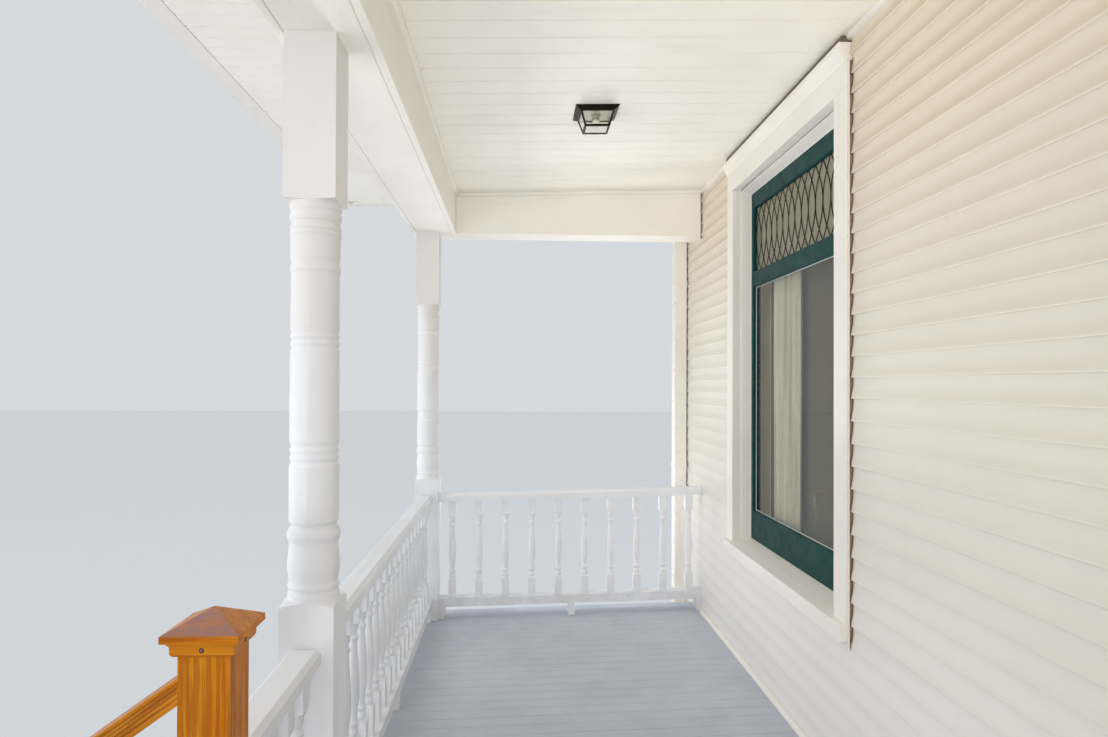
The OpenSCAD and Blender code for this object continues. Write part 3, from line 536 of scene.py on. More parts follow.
def shingle(name, col):
    """Asphalt shingle: coloured granules on a rough mat."""
    m = Mat(name)
    plain = m.scaled()
    tone = m.fill(m.new("ShaderNodeSeparateColor"), Color=m.voronoi(plain, 620, "Color"))
    n = m.fill(m.new("ShaderNodeValToRGB"), Fac=tone.outputs[0])
    stops = n.color_ramp.elements
    stops.new(0.5), stops.new(0.5)
    for stop, (place, k, warm) in zip(stops, ((0.0, 0.45, 0), (0.45, 0.95, 0),
                                              (0.8, 1.25, 0.03), (1.0, 1.9, 0.02))):
        stop.position, stop.color = place, (*shade(col, k, warm), 1)
    c = m.over(n.outputs[0], m.noise(plain, 4, 5, 0.65), 0.4, 0.75, 0.5,
               shade(col, 0.72, 0.03))
    return m.out(c, 0.93, m.bump(m.voronoi(plain, 620), 0.8, 0.0012))


def metal(name, col, rough, metallic=1.0):
    """Metal with a clouded tarnish."""
    m = Mat(name)
    plain = m.scaled()
    c = m.over(col, m.noise(plain, 22, 5, 0.6), 0.35, 0.7, 0.25, shade(col, 0.55, 0.05))
    r = m.band(m.noise(plain, 60, 4), 0.3, 0.7, rough - 0.05, rough + 0.12)
    return m.out(c, r, m.bump(m.noise(plain, 340, 3), 0.10, 0.0003), Metallic=metallic)


def enamel(name, col):
    """Baked enamel on folded sheet metal: smooth, with slight waviness and dust."""
    m = Mat(name)
    plain = m.scaled()
    cloud = m.noise(plain, 3.5, 5, 0.62)
    c = m.mix(m.band(cloud, 0.3, 0.72), shade(col, 0.96, 0.01), shade(col, 1.01))
    stain = m.noise(m.scaled((1, 1, 0.12)), 16, 6, 0.7)
    c = m.over(c, stain, 0.60, 0.78, 0.22, shade(col, 0.70, 0.06))
    return m.out(c, m.band(m.noise(plain, 14, 4), 0.3, 0.7, 0.26, 0.42),
                 m.bump(m.noise(plain, 6, 2), 0.12, 0.004))


def glass(name, tint, rough, ripple, scale, ior=1.5, milk=0.0):
    """Rippled pane, milky as far as milk says. A lamp's light passes it, as with glass."""
    m = Mat(name)
    n = m.bump(m.noise(m.scaled(), scale, 3, 0.5), ripple, 0.002)
    m.out(tint, rough, n, IOR=ior, Transmission_Weight=1.0 - milk)
    clear = m.fill(m.new("ShaderNodeBsdfTransparent"), Color=shade(tint, 0.92))
    shadow = m.new("ShaderNodeLightPath").outputs["Is Shadow Ray"]
    m.link(m.blend(shadow, m.bsdf.outputs[0], clear.outputs[0]), m.end)
    return m.mat


def cloth(name, col, threads, alpha=1.0, folds=0.0):
    """Plain weave from two crossed sine fields, with slubs and painted shade in the folds."""
    m = Mat(name)
    u, v = (m.math("SINE", m.times(m.axis(i), threads)) for i in (0, 2))
    weave = m.times(u, v)
    slub = m.noise(m.scaled((1, 1, 0.1)), 240, 4, 0.6)
    c = m.mix(m.band(slub, 0.4, 0.7), col, shade(col, 0.86))
    c = m.mix(m.band(weave, -0.6, 0.8, 0.0, 0.18), c, shade(col, 0.6))
    if folds:
        # painted shade of the folds, in soft stripes
        fold = m.noise(m.scaled((1, 0.2, 0.03)), 22, 3, 0.5)
        c = m.mix(m.band(fold, 0.36, 0.62, folds, 0.0), c, shade(col, 0.42))
    return m.out(c, 0.92, m.bump(m.math("ADD", weave, slub), 0.4, 0.0004), Alpha=alpha,
                 Sheen_Weight=0.3)


def house_wall():
    """Wall slice: plaster toward the room, sheathing under the siding, cut edges bare."""
    m = Mat("house_wall")
    plain, lum, col = m.scaled(), srgb(196, 168, 126), srgb(216, 211, 200)
    back = m.band(m.facing()[1], 0.4, 0.6)
    plaster = m.mix(m.band(m.noise(plain, 2.1, 5, 0.6), 0.3, 0.7), shade(col, 0.95, 0.01),
                    shade(col, 1.02))
    wood = m.noise(m.scaled(AXIS_SCALE["x"]), 60, 6, 0.66, 1.2)
    board = m.mix(m.band(wood, 0.36, 0.68), shade(lum, 1.04), shade(lum, 0.66, 0.05))
    trowel = m.times(m.noise(plain, 18, 6, 0.7), back)
    n = m.bump(m.math("ADD", trowel, wood), 0.3, 0.0012)
    return m.out(m.mix(back, board, plaster), 0.84, n)


# The ceiling, soffits and beams take a lighter copy of the white: painted light.
WHITE, COOL_WHITE, PAINTED_LIGHT_WHITE = srgb(240, 236, 228), srgb(236, 238, 242), srgb(246, 242, 234)
white = {a: paint("white_paint_" + a, WHITE, a) for a in "xyz"}
# The rails, posts and low boards darken toward the foot with dirt and painted shade.
rail = {a: paint("rail_paint_" + a, COOL_WHITE, a, dirt=0.7, chips=0.35, dust=0.82)
        for a in "xy"}
# The posts take a painted warm shade from 2 m up.
white_post = paint("post_paint", COOL_WHITE, "z", dirt=0.25, dust=0.80, warm=2.0)
white_painted_light = {a: paint("ceiling_paint_" + a, PAINTED_LIGHT_WHITE, a) for a in "xy"}
white_low = {a: paint("low_paint_" + a, shade(WHITE, 0.96), a, dirt=0.6, dust=0.10)
             for a in "xz"}
siding_mat = vinyl_siding()
# Painted shade: a dark material for the insides of the channels and the siding under their
# lips.
channel_shade = mineral("channel_painted_shade", srgb(176, 152, 132), 30, 300, 0.0004, 0.85, 0.2)
# Painted shade: a darker material for the gaps above the window crowns and at the end beams.
gap_shade = mineral("shadow_gap", srgb(118, 106, 92), 30, 300, 0.0004, 0.85, 0.2)
putty_mat = enamel("glazing_bead", srgb(196, 198, 190))
caulk_mat = enamel("sash_caulk", srgb(244, 242, 236))
channel_mat = enamel("white_vinyl_trim", srgb(233, 228, 217))
gutter_mat = enamel("gutter_enamel", srgb(238, 234, 226))
reflector_mat = enamel("lantern_reflector", srgb(232, 228, 216))
floor_mat, tread_mat = floor_paint("floor_paint", "y"), floor_paint("tread_paint", "x")
teal_mat = teal_paint()
pine_mat = stained_pine("newel_pine", (0, 0, 0), (1.7295, 1.1643))
rail_pine_mat = stained_pine("handrail_pine", (math.radians(54.7), 0, 0))
joist_mat = wood_raw("framing_lumber", srgb(186, 158, 116), "x")
girder_mat = wood_raw("girder_lumber", srgb(170, 142, 104), "y")
wall_mat = house_wall()
concrete_mat = mineral("foundation_block", srgb(158, 154, 147))
mortar_mat = mineral("mortar", srgb(150, 146, 138), 14, 260, 0.0015)
bricks = [mineral("brick_%d" % i, srgb(*c), 16, 230, 0.0016, 0.86, 0.22)
          for i, c in enumerate(((142, 74, 55), (158, 88, 64), (122, 62, 50)))]
shingles = [shingle("shingle_%d" % i, srgb(*c))
            for i, c in enumerate(((96, 95, 94), (84, 83, 84), (108, 104, 99)))]
plug_mat = mineral("screw_plug", srgb(62, 50, 42), 40, 400, 0.0002, 0.6, 0.1)
socket_mat = mineral("lamp_socket", srgb(176, 172, 160), 20, 200, 0.0002, 0.5, 0.04)
bronze_mat = metal("dark_bronze", srgb(58, 47, 34), 0.30)
lead_mat = metal("lead_came", srgb(38, 34, 30), 0.52, 0.7)
brass_mat = metal("aged_brass", srgb(170, 134, 72), 0.30)
steel_mat = metal("screw_steel", srgb(150, 142, 132), 0.38)
flash_mat = metal("flashing_metal", srgb(176, 176, 172), 0.42)
pane_mat = glass("window_pane", (0.98, 0.97, 0.91), 0.0, 0.05, 2.2, 1.2)
leaded_mat = glass("leaded_pane", (0.50, 0.47, 0.34), 0.30, 0.35, 34, 1.4, milk=0.35)
lantern_pane_mat = glass("lantern_pane", (0.97, 0.97, 0.94), 0.02, 0.12, 22)
bulb_mat = glass("bulb_glass", (0.97, 0.96, 0.92), 0.28, 0.02, 30)
# The voile's folds take painted shade.
sheer_mat = cloth("sheer_voile", srgb(254, 252, 232), 2600, 0.94, folds=0.55)
# The roller shade's dark olive canvas stands in for the unlit room behind the glass: painted
# shade.
shade_mat = cloth("shade_canvas", srgb(86, 84, 52), 1500)

for names, material in (
        ("house_foundation", concrete_mat), ("left_wall entry_wall right_wall", wall_mat),
        ("corner_boards window_frames door_frame", white["z"]),
        ("ceiling_trim front_fascia", white["x"]), ("end_beams end_fascias", white["y"]),
        ("window_sashes front_door", teal_mat), ("glazing", pane_mat),
        ("porch_piers", mortar_mat), ("floor_girders", girder_mat),
        ("floor_joists", joist_mat), ("floor_boards", floor_mat),
        ("front_rim_board end_rim_boards stair_risers", white_low["x"]),
        ("front_skirting end_skirting stair_stringers", white_low["z"]),
        ("turned_posts", white_post), ("front_beam end_soffits", white_painted_light["x"]),
        ("ceiling front_soffit", white_painted_light["y"]),
        ("front_gutter end_gutters downspouts", gutter_mat),
        ("front_roof_slope end_roof_slopes", shingles[1]), ("stair_treads", tread_mat),
        ("left_railing right_railing left_short_railing right_short_railing", rail["x"]),
        ("left_end_railing right_end_railing", rail["y"]), ("newels", pine_mat),
        ("stair_handrails", rail_pine_mat), ("lantern_frames", bronze_mat),
        ("lantern_glass", lantern_pane_mat)):
    for name in names.split():
        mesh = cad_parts[name].data
        mesh.materials.clear()
        mesh.materials.append(material)
        mesh.polygons.foreach_set("material_index", [0] * len(mesh.polygons))


def corner_joiner():
    """Geometry nodes that join the frame's split corners, so that edges can be eased."""
    g = bpy.data.node_groups.new("join_corners", "GeometryNodeTree")
    for way in ("INPUT", "OUTPUT"):
        g.interface.new_socket("Geometry", in_out=way, socket_type="NodeSocketGeometry")
    chain = [g.nodes.new(kind) for kind in (
        "NodeGroupInput", "GeometryNodeMergeByDistance", "GeometryNodeRemoveAttribute",
        "NodeGroupOutput")]
    chain[1].inputs["Distance"].default_value = 0.00002
    chain[2].inputs["Name"].default_value = "custom_normal"
    for a, b in zip(chain, chain[1:]):
        g.links.new(a.outputs[0], b.inputs[0])
    return g


def soften(obj, width):
    """Rounds the edges of an object with a modifier."""
    bev = obj.modifiers.new("ease", "BEVEL")
    bev.width, bev.segments, bev.use_clamp_overlap = width * MM, 2, True
    bev.limit_method, bev.angle_limit = "ANGLE", math.radians(40)


# Frame nodes with rounded edges; their own meshes stay as they are
JOIN = corner_joiner()
for width, names in (
        (1.5, "front_skirting end_skirting stair_risers"),
        (2, "corner_boards front_rim_board end_rim_boards stair_stringers front_fascia "
            "end_fascias"),
        (2.5, "front_beam end_beams"), (3, "stair_handrails")):
    for name in names.split():
        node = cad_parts[name]
        node.modifiers.new("join", "NODES").node_group = JOIN
        soften(node, width)


# ---------------------------------------------------------------- siding

# Exposure of the courses, as (count, height), from the butt under the ceiling downward
TOP_BUTT, BUTTS_ABOVE = 3364.0, 16
EXPOSURES = [(12, 70.25), (5, 73.1), (9, 79.0), (10, 82.5)]
# How far a course stands off the wall, from its bevelled butt up its flared face
FACE_OF_COURSE = [(0.0, 9.6), (0.012, 10.6), (0.03, 10.9), (0.08, 10.5), (0.20, 9.0),
                  (0.33, 7.0), (0.45, 5.0), (0.60, 3.4), (0.80, 2.4), (1.0, 2.0)]
# Width of a channel's lip, the siding's gap to the trim, and the floor end of both
LIP, GAP, WALL_FOOT = 13.0, 3.0, floor_z(DEPTH) + 2
# Half the width where the sloping roof edge meets the wall
HIP_X = GUTTER_X - (DEPTH - GUTTER_Y)


def butts():
    """Heights of all butts, from the ground to the top of the wall."""
    z, down = TOP_BUTT, []
    for count, exposure in EXPOSURES:
        for _ in range(count):
            z -= exposure
            down.append(z)
    return down[::-1] + [TOP_BUTT + EXPOSURES[0][1] * i for i in range(BUTTS_ABOVE)]


def proud(s):
    """How far a course stands off the wall at a share s of its height."""
    for (a, pa), (b, pb) in zip(FACE_OF_COURSE, FACE_OF_COURSE[1:]):
        if s <= b:
            return pa + (pb - pa) * (s - a) / (b - a)
    return FACE_OF_COURSE[-1][1]


def roof_line(x):
    """Height of the roof surface where it meets the wall, with room for the flashing."""
    return min(roof_z(DEPTH), end_roof_z(max(x, HIP_X))) + 26


def siding():
    """Lap siding over the whole wall, in courses cut round whatever meets the wall."""
    top, over_door, over_win = ceiling_z(DEPTH) - 4, DOOR_TOP - CROWN_H, WINDOW_TOP - CROWN_H
    corner, apron = CORNER_IN - GAP, APRON_FOOT - 1
    # each field is (side, x from, x to, z from, z to, material); material 1 is the painted
    # shade on siding under a channel's lip
    fields = []
    for side in (-1, 1):
        fields += [(side, *f) for f in (
            (DOOR_OUT + GAP, DOOR_OUT + LIP, WALL_FOOT, over_door, 1),
            (DOOR_OUT + GAP, DOOR_OUT + LIP, over_door, top, 0),
            (DOOR_OUT + LIP, WIN_IN - LIP, WALL_FOOT, top, 0),
            (WIN_IN - LIP, WIN_IN - GAP, WALL_FOOT, apron, 0),
            (WIN_IN - LIP, WIN_IN - GAP, apron, over_win, 1),
            (WIN_IN - LIP, WIN_IN - GAP, over_win, top, 0),
            (WIN_IN - GAP, WIN_OUT + GAP, WALL_FOOT, apron, 0),
            (WIN_OUT + GAP, WIN_OUT + LIP, WALL_FOOT, apron, 0),
            (WIN_OUT + GAP, WIN_OUT + LIP, apron, over_win, 1),
            (WIN_OUT + GAP, WIN_OUT + LIP, over_win, top, 0),
            (WIN_OUT + LIP, CEIL_X, WALL_FOOT, top, 0),
            (CEIL_X, BEAM_X, WALL_FOOT, BEAM_Z, 0),
            (BEAM_X, corner, FOUND_TOP, SOFFIT_Z, 0),
            (0.0, corner, None, WALL_TOP, 0))]
    fields.append((1, -DOOR_OUT - GAP, DOOR_OUT + GAP, DOOR_TOP + 1, top, 0))
    b, lines = Build(), butts()
    for side, xa, xb, lo, hi, mat in fields:
        x0, x1 = sorted((side * xa, side * xb))
        steps = max(1, round((x1 - x0) / 105))
        flat = 0.76 if lo is None or xa == BEAM_X else 1.0
        xs = [x0 + (x1 - x0) * i / steps for i in range(steps + 1)]
        for k, (zb, zt) in enumerate(zip(lines, lines[1:])):
            bulge, sag = wave(1000 + k), wave(2000 + k, (1900, 800, 410))
            rings = []
            for x in xs + [None]:
                if x is not None:
                    z0 = max(zb, roof_line(abs(x)) if lo is None else lo)
                    z1 = min(zt, hi)
                if x is None or z1 - z0 < 3:
                    if len(rings) > 1:
                        b.loft(rings, mat)
                        b.shares += shares * len(rings)
                    rings = []
                    continue
                ring, shares = [], []
                for s, _ in FACE_OF_COURSE:
                    z = min(max(zb + s * (zt - zb), z0), z1)
                    shares.append((z - zb) / (zt - zb))
                    p = flat * proud(shares[-1]) * (1 + 0.05 * bulge(x))
                    drop = 0.7 * sag(x) * max(0.0, 1 - 3 * s) if z > z0 + 0.1 or z0 == zb else 0
                    ring.append((x, DEPTH - p, min(max(z - drop, z0 - 0.7), z1)))
                rings.append(ring + [(x, DEPTH + 0.6, z1), (x, DEPTH + 0.6, z0)])
                shares += [1.0, 0.0]
    b.piece("lap_siding", siding_mat, channel_shade, smooth=38, slot="siding")


def j_strip(b, x, z0, z1, away, stand=19.6):
    """A channel that stands beside trim at x; the siding ends tuck under its lip."""
    t, y = 1.3, DEPTH - stand
    s = [(x, DEPTH), (x, y), (x + away * LIP, y), (x + away * LIP, y + 4),
         (x + away * (LIP - t), y + 4), (x + away * (LIP - t), y + t),
         (x + away * t, y + t), (x + away * t, DEPTH)]
    n = max(2, round((z1 - z0) / 400))
    w = wave(int(x) + 7, (1700, 700), (1, 0.6))
    rings = []
    for i in range(n + 1):
        z = z0 + (z1 - z0) * i / n
        rings.append([(px, py + 0.5 * w(z) * (py < DEPTH - 2), z) for px, py in s])
    # the faces inside the lip and along the web take material 1, painted shade
    b.loft(rings, [0, 0, 0, 0, 1, 1, 1, 0])


def channels():
    """Channels beside all the trim, with painted shade inside them, and dark blocks of painted
    shade in the gaps above the window crowns and between the end beams and the ceiling."""
    b = Build()
    for s in (-1, 1):
        for x, away in ((WIN_IN, -s), (WIN_OUT, s)):
            j_strip(b, s * x, APRON_FOOT - 26, WINDOW_TOP - CROWN_H, away)
        j_strip(b, s * DOOR_OUT, WALL_FOOT, DOOR_TOP - CROWN_H, s)
        # a dark block of painted shade in the gap between the crown and the ceiling
        b.block((s * (WIN_IN + 12), DEPTH - 35, WINDOW_TOP),
                (s * (WIN_OUT - 12), DEPTH, ceiling_z(DEPTH) - 3), 2)
        j_strip(b, s * CEIL_X, BEAM_Z - 14, ceiling_z(DEPTH) - 8, -s)
        j_strip(b, s * BEAM_X, BEAM_Z, SOFFIT_Z, s)
        j_strip(b, s * CORNER_IN, FOUND_TOP, SOFFIT_Z, -s, 13.5)
        # thin dark slivers of painted shade where the end beam meets the ceiling
        for i in range(8):
            y = DEPTH - 640 + 80 * i
            b.block((s * CEIL_X, y, ceiling_z(y) - 1 - 0.8 * i),
                    (s * (CEIL_X - 3), y + 80, ceiling_z(y) + 2), 2)
        j_strip(b, s * CORNER_IN, roof_line(CORNER_IN) + 4, WALL_TOP, -s)
    b.piece("siding_channels", channel_mat, channel_shade, gap_shade, slot="white_trim")


def wall_flashing():
    """Folded metal where the roof meets the wall, stepped down the end slopes."""
    b, t, n = Build(), 1.2, 17

    def run(pts, fall):
        rings = []
        for x, z in pts:
            foot = z + 9 - 95 * RISE * fall
            rings.append([(x, DEPTH - 4, z + 95), (x, DEPTH - 4 - t, z + 95),
                          (x, DEPTH - 14 - t, z + 9 + t), (x, DEPTH - 95, foot + t),
                          (x, DEPTH - 95, foot), (x, DEPTH - 14, z + 9)])
        b.loft(rings)

    run([(-HIP_X, roof_z(DEPTH)), (HIP_X, roof_z(DEPTH))], 1)
    for s in (-1, 1):
        for i in range(n):
            ends = [HIP_X + (FASCIA_X - HIP_X) * k / n for k in (i, i + 1)]
            ends[1] = min(ends[1] + 30, FASCIA_X)
            run([(s * x, end_roof_z(x) + 0.12 * i) for x in ends], 0)
    b.piece("wall_flashing", flash_mat)


def wall_shoe():
    """A quarter-round shoe where the siding meets the floor."""
    b, z, r, y = Build(), floor_z(DEPTH - 20), 19.0, DEPTH - 11
    section = [(y, z + 0.4), (y - r, z + 0.4)]
    section += [(y - r * math.cos(a * math.pi / 12), z + 1.5 + r * math.sin(a * math.pi / 12))
                for a in range(7)]
    for s in (-1, 1):
        b.along(section, s * (DOOR_OUT + GAP), s * (FLOOR_X - 2))
    b.piece("wall_shoe", white["x"], smooth=40, slot="white_trim")


siding()
channels()
wall_flashing()
wall_shoe()


# ---------------------------------------------------------------- boards

def grooved(a, b, low, high, c):
    """Section of a board between a and b whose lower edges are chamfered by c."""
    return [(a, high), (a, low + c), (a + c * 0.9, low), (b - c * 0.9, low), (b, low + c),
            (b, high)]


def floor_piece():
    """Narrow floor boards with uneven joints, slightly cupped, their nosing rounded."""
    rnd = random.Random(11)
    n = 97
    w = 2 * FLOOR_X / n
    nose = [(0, 9.0), (2, 5.0), (6, 1.6), (12, 0.0)]
    ends = [(-FLOOR_EDGE + v, inset) for v, inset in nose]
    ends += [(-FLOOR_EDGE + 12 + (DEPTH - 1 + FLOOR_EDGE - 12) * k / 9, 0.0)
             for k in range(1, 10)]
    b = Build()
    for i in range(n):
        joint = rnd.uniform(0.35, 0.8)
        x0 = -FLOOR_X + i * w + (joint if i > 0 else 0)
        x1 = -FLOOR_X + (i + 1) * w - (joint if i < n - 1 else 0)
        sink, cup = rnd.uniform(0.0, 0.5), rnd.uniform(-0.15, 0.45)
        bow = wave(300 + i, (1500, 700), (1, 0.5))
        rings = []
        for y, inset in ends:
            hi = floor_z(y) - sink - inset - 0.15 + 0.15 * bow(y)
            lo = floor_z(y) - FLOOR_T + inset
            rings.append([(x0, y, lo), (x0, y, hi - 1.5), (x0 + 1.5, y, hi),
                          ((x0 + x1) / 2, y, hi - cup), (x1 - 1.5, y, hi), (x1, y, hi - 1.5),
                          (x1, y, lo)])
        b.loft(rings)
    b.piece("floor_board_set", floor_mat, slot="grey_floor_paint", replaces=("floor_boards",))


def ceiling_piece():
    """Grooved ceiling boards, each slightly bowed."""
    n = 63
    w = 2 * CEIL_X / n
    b = Build()
    for i in range(n):
        bow = wave(600 + i, (1500, 700), (1, 0.5))
        rings = []
        for k in range(7):
            y = CEIL_Y0 + (DEPTH - CEIL_Y0) * k / 6
            z = ceiling_z(y) + 0.3 * bow(y)
            rings.append([(x, y, zz) for x, zz in grooved(
                -CEIL_X + i * w, -CEIL_X + (i + 1) * w, z, z + 11.5, 3.2)])
        b.loft(rings)
    b.piece("ceiling_board_set", white_painted_light["y"], slot="white_paint", replaces=("ceiling",))


def soffit_piece(name, node, end):
    """Grooved soffit boards square to the eave, mitred at the corners. U runs along the
    eave and v from the fascia to the beam."""
    b, width, cut = Build(), 82.0, (4.0, 4.0, 0.0, 0.0, 4.0, 4.0)
    start, stop = (FASCIA_Y, DEPTH - 13) if end else (-FASCIA_X, FASCIA_X)
    outer = 3 - FASCIA_X if end else FASCIA_Y + 3
    n = round((stop - start) / width)
    w = (stop - start) / n
    for s in (-1, 1) if end else (1,):
        for i in range(n):
            u0, u1 = start + i * w, start + (i + 1) * w
            if not end and max(abs(u0), abs(u1)) > FASCIA_X - 24:
                continue
            if end and i == 0:
                u0 += 26
            rings = [[], [], [], []]
            for (u, h), back in zip(grooved(u0, u1, 0.0, 12.0, 3.4), cut):
                if end:
                    inner = -max(BEAM_X, GUTTER_Y + GUTTER_X - u)
                else:
                    inner = min(-BEAM_OUT, GUTTER_Y + GUTTER_X - abs(u))
                near = min(outer, inner - 24)
                for ring, v in zip(rings, (near + back, near + 10, inner - 1, inner)):
                    ring.append((-s * v, u, SOFFIT_Z + h) if end else (u, v, SOFFIT_Z + h))
            b.loft(rings)
    b.piece(name, white_painted_light["x" if end else "y"], slot="white_paint", replaces=(node,))


def stair_boards():
    """Each tread as two boards with a gap between them and a rounded nosing."""
    b = Build()
    for i in range(1, 4):
        z = i * STEP_H
        for y, w, r in ((0, 140.5, 7.0), (143.5, 141.5, 2.0)):
            a = 25 - FLOOR_EDGE - (4 - i) * STEP_D - 25 + y
            c = a + w
            b.along([(a, z - 32 + r), (a, z - r), (a + r * 0.3, z - r * 0.3), (a + r, z - 0.1),
                     (c - 2, z - 0.1), (c, z - 2), (c, z - 30), (c - 2, z - 32),
                     (a + r, z - 32), (a + r * 0.3, z - 32 + r * 0.3)],
                    -STAIR_HALF, STAIR_HALF)
    b.piece("tread_board_set", tread_mat, smooth=50, slot="grey_floor_paint",
            replaces=("stair_treads",))


floor_piece()
ceiling_piece()
soffit_piece("front_soffit_boards", "front_soffit", False)
soffit_piece("end_soffit_boards", "end_soffits", True)
stair_boards()


# ---------------------------------------------------------------- windows

JAMB = 20.0
BACK = DEPTH + WALL_T
FACE = DEPTH - 25
SASH_Y = DEPTH + 72
GLASS_Y = SASH_Y + 16
STOP_SIDE, STOP_HEAD, STOP_EDGE = 18, 27, 6
HALF = WINDOW_W / 2 - STOP_SIDE - 34
SILL = FLOOR_H + 650
MAIN = (FLOOR_H + 798, FLOOR_H + 1985)
TRANSOM = (FLOOR_H + 2060, FLOOR_H + 2401)
DOOR_GLASS = (1150, 1890)


def frame_bar(b, cx, half, z0, z1, profile, open_foot=False):
    """A moulding run round an opening; profile holds (inward, depth) pairs."""
    foot = 0 if open_foot else 1
    corners = [(cx - half, z0, 1, foot), (cx - half, z1, 1, -1), (cx + half, z1, -1, -1),
               (cx + half, z0, -1, foot)]
    rings = [[(x + sx * i, y, z + sz * i) for i, y in profile] for x, z, sx, sz in corners]
    b.loft(rings, loop=not open_foot)


def opening(b, cx, half, foot, jamb_foot, z):
    """Casings and jambs of an opening whose head is at z, with a flat head board and the
    crown that slopes out from it to an upright lip."""
    out = half + CASING
    for e in (-1, 1):
        x = cx + e * half
        b.block((x, FACE, foot), (cx + e * out, DEPTH + 0.5, z - 0.4))
        b.block((x, DEPTH + 0.1, jamb_foot), (x + e * JAMB, BACK, z + JAMB))
    b.block((cx - half, DEPTH + 0.1, z), (cx + half, BACK, z + JAMB), 1)
    board, top = z + CASING, z + CASING + CROWN_H
    b.block((cx - out, FACE, z + 0.4), (cx + out, DEPTH + 0.5, board), 1)
    b.along([(DEPTH + 0.5, board), (FACE, board), (FACE - 4, board + 3),
             (FACE - 23, top - 22), (FACE - 25, top - 18), (FACE - 25, top),
             (DEPTH + 0.5, top)], cx - out, cx + out, 1)


def window_casings():
    """Casings, jambs, splayed stops and sloping sill of both windows, with caulk."""
    b, caulk = Build(), Build()
    head, half = WINDOW_HEAD, WINDOW_W / 2
    nose_z, nose_y = SILL - 26, FACE - 21
    at_wall = nose_z + 26 * (DEPTH - nose_y) / (SASH_Y - nose_y)
    for cx in (-WINDOW_X, WINDOW_X):
        opening(b, cx, half, nose_z + 0.5, SILL - 52, head)
        frame_bar(b, cx, half, SILL - 20, head,
                  [(-0.5, SASH_Y - 50), (STOP_EDGE, SASH_Y - 50), (STOP_SIDE, SASH_Y),
                   (-0.5, SASH_Y)], True)
        b.along([(SASH_Y - 50, head - STOP_EDGE), (SASH_Y, head - STOP_HEAD),
                 (SASH_Y, head + 0.5), (SASH_Y - 50, head + 0.5)], cx - half + 4,
                cx + half - 4, 1)
        b.along([(nose_y, nose_z - 60), (DEPTH + 0.5, nose_z - 60), (DEPTH + 0.5, at_wall),
                 (nose_y, nose_z)], cx - half - CASING, cx + half + CASING, 1)
        b.along([(DEPTH, SILL - 52), (BACK, SILL - 52), (BACK, SILL), (SASH_Y, SILL),
                 (DEPTH, at_wall)], cx - half, cx + half, 1)
        frame_bar(caulk, cx, half - STOP_SIDE, SILL, head - STOP_HEAD,
                  [(-0.5, SASH_Y - 2.6), (0.8, SASH_Y - 2.3), (2.6, SASH_Y - 0.4),
                   (2.6, SASH_Y + 0.1), (-0.5, SASH_Y + 0.1)], True)
    soften(b.piece("window_casings", white["z"], white["x"], slot="white_paint",
                   replaces=("window_frames",)), 1.8)
    caulk.piece("sash_caulk", caulk_mat, slot="white_paint")


def sash_frames():
    """Fixed sashes: two stiles, a foot rail, a rail under the transom light and a head."""
    b, half, top = Build(), WINDOW_W / 2 - 0.5, WINDOW_HEAD - 0.5
    y0, y1 = SASH_Y, SASH_Y + 45
    for cx in (-WINDOW_X, WINDOW_X):
        for e in (-1, 1):
            b.block((cx + e * HALF, y0, SILL), (cx + e * half, y1, top))
        for z0, z1 in ((SILL, MAIN[0]), (MAIN[1], TRANSOM[0]), (TRANSOM[1], top)):
            b.block((cx - HALF + 0.15, y0 + 0.1, z0), (cx + HALF - 0.15, y1 - 0.1, z1))
    soften(b.piece("sash_frames", teal_mat, slot="teal_paint", replaces=("window_sashes",)),
           1.6)


def door_casings():
    """Casings, jambs, head and threshold of the door."""
    b, z = Build(), floor_z(DEPTH) + 3
    opening(b, 0, DOOR_HALF, floor_z(DEPTH) + 0.3, z, DOOR_HEAD)
    b.along([(DEPTH - 30, z), (BACK, z), (BACK, z + 24), (DEPTH + 60, z + 24),
             (DEPTH - 30, z + 12)], -DOOR_HALF, DOOR_HALF, 1)
    soften(b.piece("door_casings", white["z"], white["x"], slot="white_paint",
                   replaces=("door_frame",)), 1.8)


def panes():
    """The panes of both windows, their leaded transom lights and the door's pane."""
    main, lead, door = Build(), Build(), Build()
    for cx in (-WINDOW_X, WINDOW_X):
        for pane, y0, y1, (z0, z1) in ((main, 0, 6, MAIN), (lead, 0.5, 4.5, TRANSOM)):
            pane.block((cx - HALF, GLASS_Y + y0, z0), (cx + HALF, GLASS_Y + y1, z1))
    door.block((-307, DEPTH + 79, DOOR_FOOT + DOOR_GLASS[0]),
               (307, DEPTH + 85, DOOR_FOOT + DOOR_GLASS[1]))
    main.piece("window_panes", pane_mat, slot="window_glass", replaces=("glazing",))
    lead.piece("transom_panes", leaded_mat, slot="window_glass")
    door.piece("door_pane", pane_mat, slot="window_glass")


def cames():
    """Interlaced pointed arcs of lead, fifteen to a transom."""
    b, count, steps = Build(), 15, 40
    step, (foot, head) = 2 * HALF / count, TRANSOM
    y = GLASS_Y + 2.5
    for cx in (-WINDOW_X, WINDOW_X):
        for k in range(-1, count + 2):
            for bulge in (-1, 1):
                run = []
                for i in range(steps + 1):
                    t = i / steps
                    x = -HALF + k * step + bulge * step * math.sin(math.pi * t)
                    inside = -HALF - 1 <= x <= HALF + 1
                    if inside:
                        run.append((cx + x, y, foot + (head - foot) * t))
                    if not inside or i == steps:
                        if len(run) > 2:
                            b.path(run, 5.6, 7.5)
                        run = []
        w = HALF - 3
        b.path([(cx - w, y, foot + 3), (cx + w, y, foot + 3), (cx + w, y, head - 3),
                (cx - w, y, head - 3)], 6.5, 8.0, loop=True)
    b.piece("transom_cames", lead_mat)


